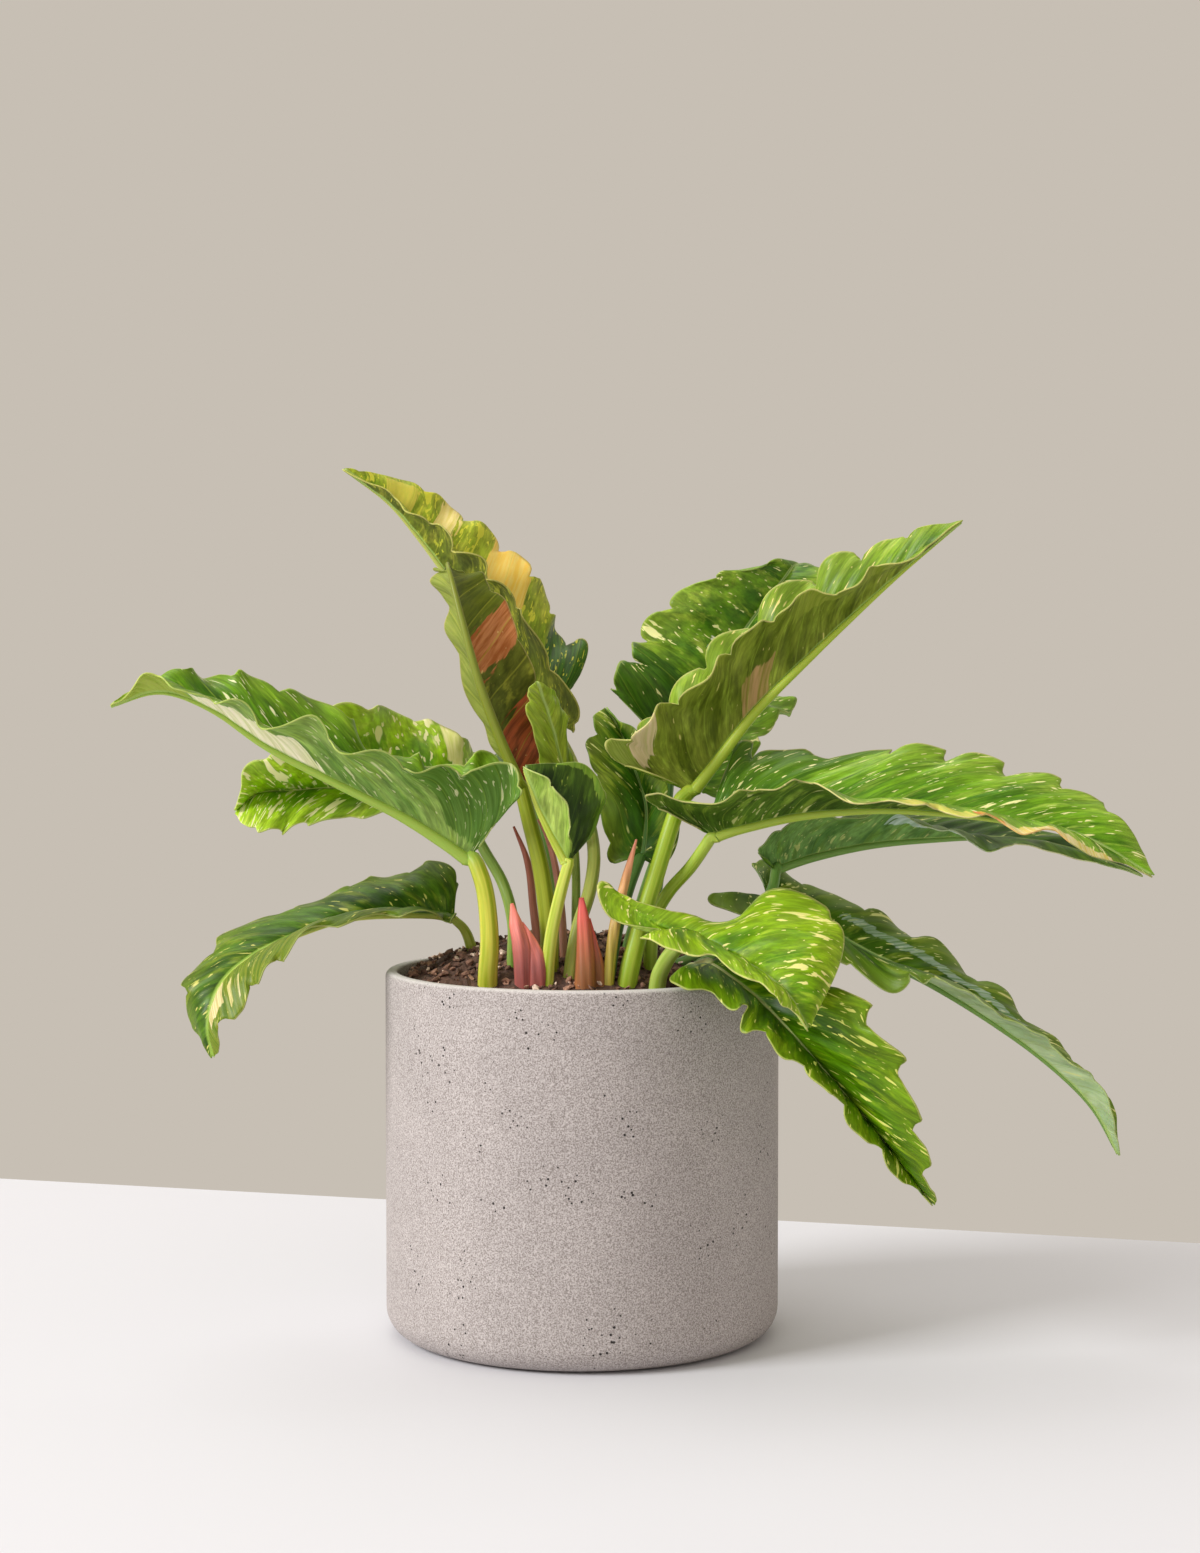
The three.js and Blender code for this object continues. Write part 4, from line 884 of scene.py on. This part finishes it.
def bladeFrames(leaf, rib, rows):
    edges = [[rib[0], *vectors(leaf[name]), rib[-1]] for name in ("left", "right")]
    frames = []
    for i in range(rows + 1):
        t = ribShare(i / rows)
        centre = along(rib, t)
        ahead = (along(rib, min(t + 0.01, 1)) - along(rib, t - 0.01)).normalized()
        sides = []
        for line, sign in zip(edges, (-1, 1)):
            reach = along(line, t) - centre
            sides.append((reach, (reach.cross(ahead) * sign).normalized()))
        frames.append((centre, ahead, sides, t))
    return frames


def buildBlade(name, leaf, values, frames, length):
    rows = len(frames) - 1
    seed = leaf["seed"]
    teeth = max(3, round(length / (leaf["pitch"] * mm)))
    wave = leaf["wave"] * mm
    inset = values["thickness"]  # keeps the finished margin inside the part's own box

    def place(x, y):
        centre, ahead, sides, t = frames[round(y * rows)]
        across = 2 * x - 1
        u = abs(across)
        side = 1 if across > 0 else 0
        reach, up = sides[side]
        width = reach.length
        fade = math.sin(math.pi * t) ** (values["fade"] if t < 0.5 else 0.5)
        phase = y * teeth + side / 3
        phase += values["toothSpread"] * noise.noise(Vector((phase * 0.7, side * 5, seed)))
        vary = noise.noise(Vector((math.floor(phase) * 3.3, side * 9, seed)))
        size = 1 + values["toothVary"] * vary
        # Teeth and ruffles shrink towards the tip, and only the outer half takes the teeth.
        bite = tooth(phase, values["tooth"]) * fade * size * (1.15 - 0.6 * t) * leaf["depth"] * mm
        bite *= values["cut"]
        rim = max(0, (u - 0.5) / 0.5) ** 1.6
        grow = 1 + max(bite / width, -0.45) * rim
        hook = ahead * (values["hook"] * max(0, bite + 1.5 * mm) * rim)
        ripple = math.sin(2 * math.pi * (leaf["waves"] * t + 0.3 * side)) * wave
        ruffle = math.sin(2 * math.pi * phase + 2 * side) * u ** 3 * fade * (1.2 - 0.9 * t)
        ruffle *= values["ruffle"] * mm * size
        vein = t * length - values["veinSlant"] * u * width
        pleats = values["pleat"] * math.cos(2 * math.pi * vein / values["veinPitch"])
        pleats *= min(1, 4 * u) * (1 - 0.4 * u) * fade
        arch = values["arch"] * width * 4 * u * (1 - u)
        lump = noise.noise(Vector((t * 9, across * 2, seed))) * values["lump"] * u * fade
        groove = values["groove"] * math.exp(-(u * width / values["grooveWidth"]) ** 2)
        lift = arch + ripple * u * u * fade + pleats + ruffle + lump - groove
        spot = centre + reach * (u * grow) + hook + up * lift
        return Vector([min(max(c, low + inset), high - inset)
                       for c, low, high in zip(spot, cadLow, cadHigh)])

    def veinAt(x, y):
        sides = frames[round(y * rows)][2]
        distance = abs(2 * x - 1) * sides[1 if x > 0.5 else 0][0].length
        sign = 1 if x > 0.5 else -1
        vein = ribShare(y) * length - values["veinSlant"] * distance
        return (sign * distance * mapScale, vein * mapScale)

    blade = gridPiece(name, values["columns"], rows, place)
    writeMaps(blade, veinAt, lambda x, y: (2 * x - 1, y))
    tones = {**greens[values["tones"]], **values["own"]}
    blade.data.materials.append(
        leafMaterial(name + "WaxyUpperSkin", tones, values, values["upper"], False))
    blade.data.materials.append(
        leafMaterial(name + "PaleUnderSkin", tones, values, values["under"], True))
    solid = blade.modifiers.new("thickness", "SOLIDIFY")
    solid.thickness = values["thickness"]
    solid.offset = 0
    solid.material_offset = 1
    solid.material_offset_rim = 1
    bpy.ops.object.modifier_apply(modifier="thickness")
    return blade


def footUnder(first):
    # Where a stalk that leaves the soil at this point starts, drawn in to the rootstock.
    rootX, rootY = leafValues["rootstock"]
    crowdX, crowdY = leafValues["crowd"]
    return Vector((rootX + (first[0] - rootX) * crowdX, rootY + (first[1] - rootY) * crowdY,
                   leafValues["stalkFoot"])) * mm


def buildStalk(name, leaf, values, frames, length):
    # The stalk runs on under the blade as its midrib.
    thick, thin = (r * mm for r in leaf["radii"])
    stalk = [footUnder(leaf["petiole"][0]), *vectors(leaf["petiole"])]
    stalkLength = lineLength(stalk)
    steps = values["stalkSteps"]
    line = [along(stalk, k / steps) for k in range(steps + 1)]
    sizes = [thick + (thin - thick) * k / steps for k in range(steps + 1)]
    for i in range(1, values["ribSteps"] + 1):
        share = i / values["ribSteps"] * 0.985
        centre, ahead, sides, t = frames[round(share * (len(frames) - 1))]
        up = (sides[0][1] + sides[1][1]).normalized()
        radius = thin * 0.85 * (1 - share) ** 0.8 + 0.25 * mm
        line.append(centre - up * (radius * 0.62 + 0.3 * mm))
        sizes.append(radius)
    tube = tubePiece(name + "Stalk", line, lambda y: between(sizes, y), values["stalkSides"],
                     len(line) * 2 - 2)
    total = (stalkLength + length) * mapScale
    writeMaps(tube, lambda x, y: (x, y), lambda x, y: (x, y * total))
    tube.data.materials.append(
        stalkMaterial(name + "JuicyStalk", leaf["stalk"], stalkLength * mapScale))
    return tube


def buildLeaf(name, leaf):
    values = {**leafValues, **leaf}
    rib = vectors([leaf["petiole"][-1], *leaf["rib"], leaf["tip"]])
    length = lineLength(rib)
    frames = bladeFrames(leaf, rib, round(length / values["rowStep"]))
    blade = buildBlade(name, leaf, values, frames, length)
    stalk = buildStalk(name, leaf, values, frames, length)
    whole = joinPieces([blade, stalk], name + "Leaf")
    bpy.ops.object.shade_smooth()
    finishPiece(whole, name)


for name, leaf in leaves.items():
    buildLeaf(name, leaf)
print("leaves", len(leaves))


sheathValues = {
    "sides": 40, "rows": 60, "flapSides": 32, "flapRows": 40, "ribs": 14.0,
    "fold": 0.3 * mm, "foldTurn": 1300, "foldLean": 90, "foldFrom": 168 * mm,
}
sheaths = {
    "sheath_red_left": {
        "line": [[-28, -60, 182], [-29, -60, 201], [-32, -58, 213], [-34, -56, 223]],
        "flap": [[-22, -62, 178], [-21, -62, 192], [-24, -60, 203], [-29, -58, 214]],
        "radii": [4.6, 4.8, 3.4, 0.8], "flapRadii": [4.4, 4.6, 3.2, 0.6], "flat": 0.6,
        "foot": "#A85A54", "top": "#EC8272",
    },
    "sheath_red_middle": {
        "line": [[2, -63, 181], [2, -62, 201], [1, -60, 215], [0, -58, 226]],
        "flap": [[9, -62, 178], [8, -61, 192], [6, -60, 204], [4, -59, 216]],
        "radii": [5.6, 4.4, 3.2, 1.2], "flapRadii": [3.8, 3.4, 2.0, 0.5], "flat": 0.6,
        "foot": "#A4683C", "top": "#D85452",
    },
    "spear_orange": {
        "line": [[13, -61, 181], [16, -58, 210], [22, -53, 236], [27, -50, 254]],
        "radii": [2.8, 2.8, 2.2, 0.5], "foot": "#B8AA40", "top": "#E49478",
    },
    "sheath_thin_left": {
        "line": [[-21, -34, 189], [-24, -32, 218], [-27, -28, 241], [-34, -26, 259]],
        "radii": [2.2, 2.0, 1.7, 0.6], "foot": "#A8705A", "top": "#A85A4C",
    },
    "sheath_thin_middle": {
        "line": [[-9, -32, 192], [-10, -28, 215], [-13, -24, 237], [-17, -20, 252],
            [-22, -18, 262]],
        "radii": [2.0, 2.0, 1.8, 1.3, 0.6], "foot": "#B9826A", "top": "#C47A6C",
    },
}


def sheathMaterial(name, shape):
    # Leaf sheath, grown thin and dry like paper around a new leaf: satin, ribbed lengthwise,
    # red from its own dye and darker toward the foot.
    material, tree, shader = newMaterial(name, {
        "Roughness": 0.5, "Subsurface Weight": 0.15, "Subsurface Scale": 2 * mm})
    place = addNode(tree, "UVMap", {"uv_map": "place"})
    upward = addNode(tree, "SeparateXYZ", inputs={"Vector": place}).outputs["Y"]
    foot, top = linear(shape["foot"]), linear(shape["top"])
    faded = layer(tree, foot, top, upward, 0.35, 0.95, easing=evenStep)
    ribs = streakPattern(tree, place, (sheathValues["ribs"], 2.0, 1.0), 4.0)
    connect(tree, shader, {"Base Color": shade(tree, faded, ribs, 0.35, 0.65, 0.72, 1.15)})
    return material


def buildSheath(name, shape, values):
    line = [footUnder(shape["line"][0]), *vectors(shape["line"])]
    sizes = [shape["radii"][0], *shape["radii"]]
    piece = tubePiece(name + "Spear", line, lambda y: between(sizes, y) * mm,
                      values["sides"], values["rows"])
    writeMaps(piece, lambda x, y: (x, y), lambda x, y: (x, y))
    material = sheathMaterial(name, shape)
    piece.data.materials.append(material)
    if "flap" in shape:
        flap = tubePiece(name + "Flap", vectors(shape["flap"]),
                         lambda y: along(shape["flapRadii"], y) * mm,
                         values["flapSides"], values["flapRows"], shape["flat"])
        writeMaps(flap, lambda x, y: (x, y), lambda x, y: (x, y))
        flap.data.materials.append(material)
        piece = joinPieces([piece, flap], name + "Spear")
    for vertex in piece.data.vertices:
        if vertex.co.z > values["foldFrom"]:
            turn = vertex.co.x * values["foldTurn"] + vertex.co.z * values["foldLean"]
            vertex.co.y += values["fold"] * math.sin(turn)
    bpy.ops.object.shade_smooth()
    finishPiece(piece, name)


for name, shape in sheaths.items():
    buildSheath(name, shape, sheathValues)
print("sheaths", len(sheaths))
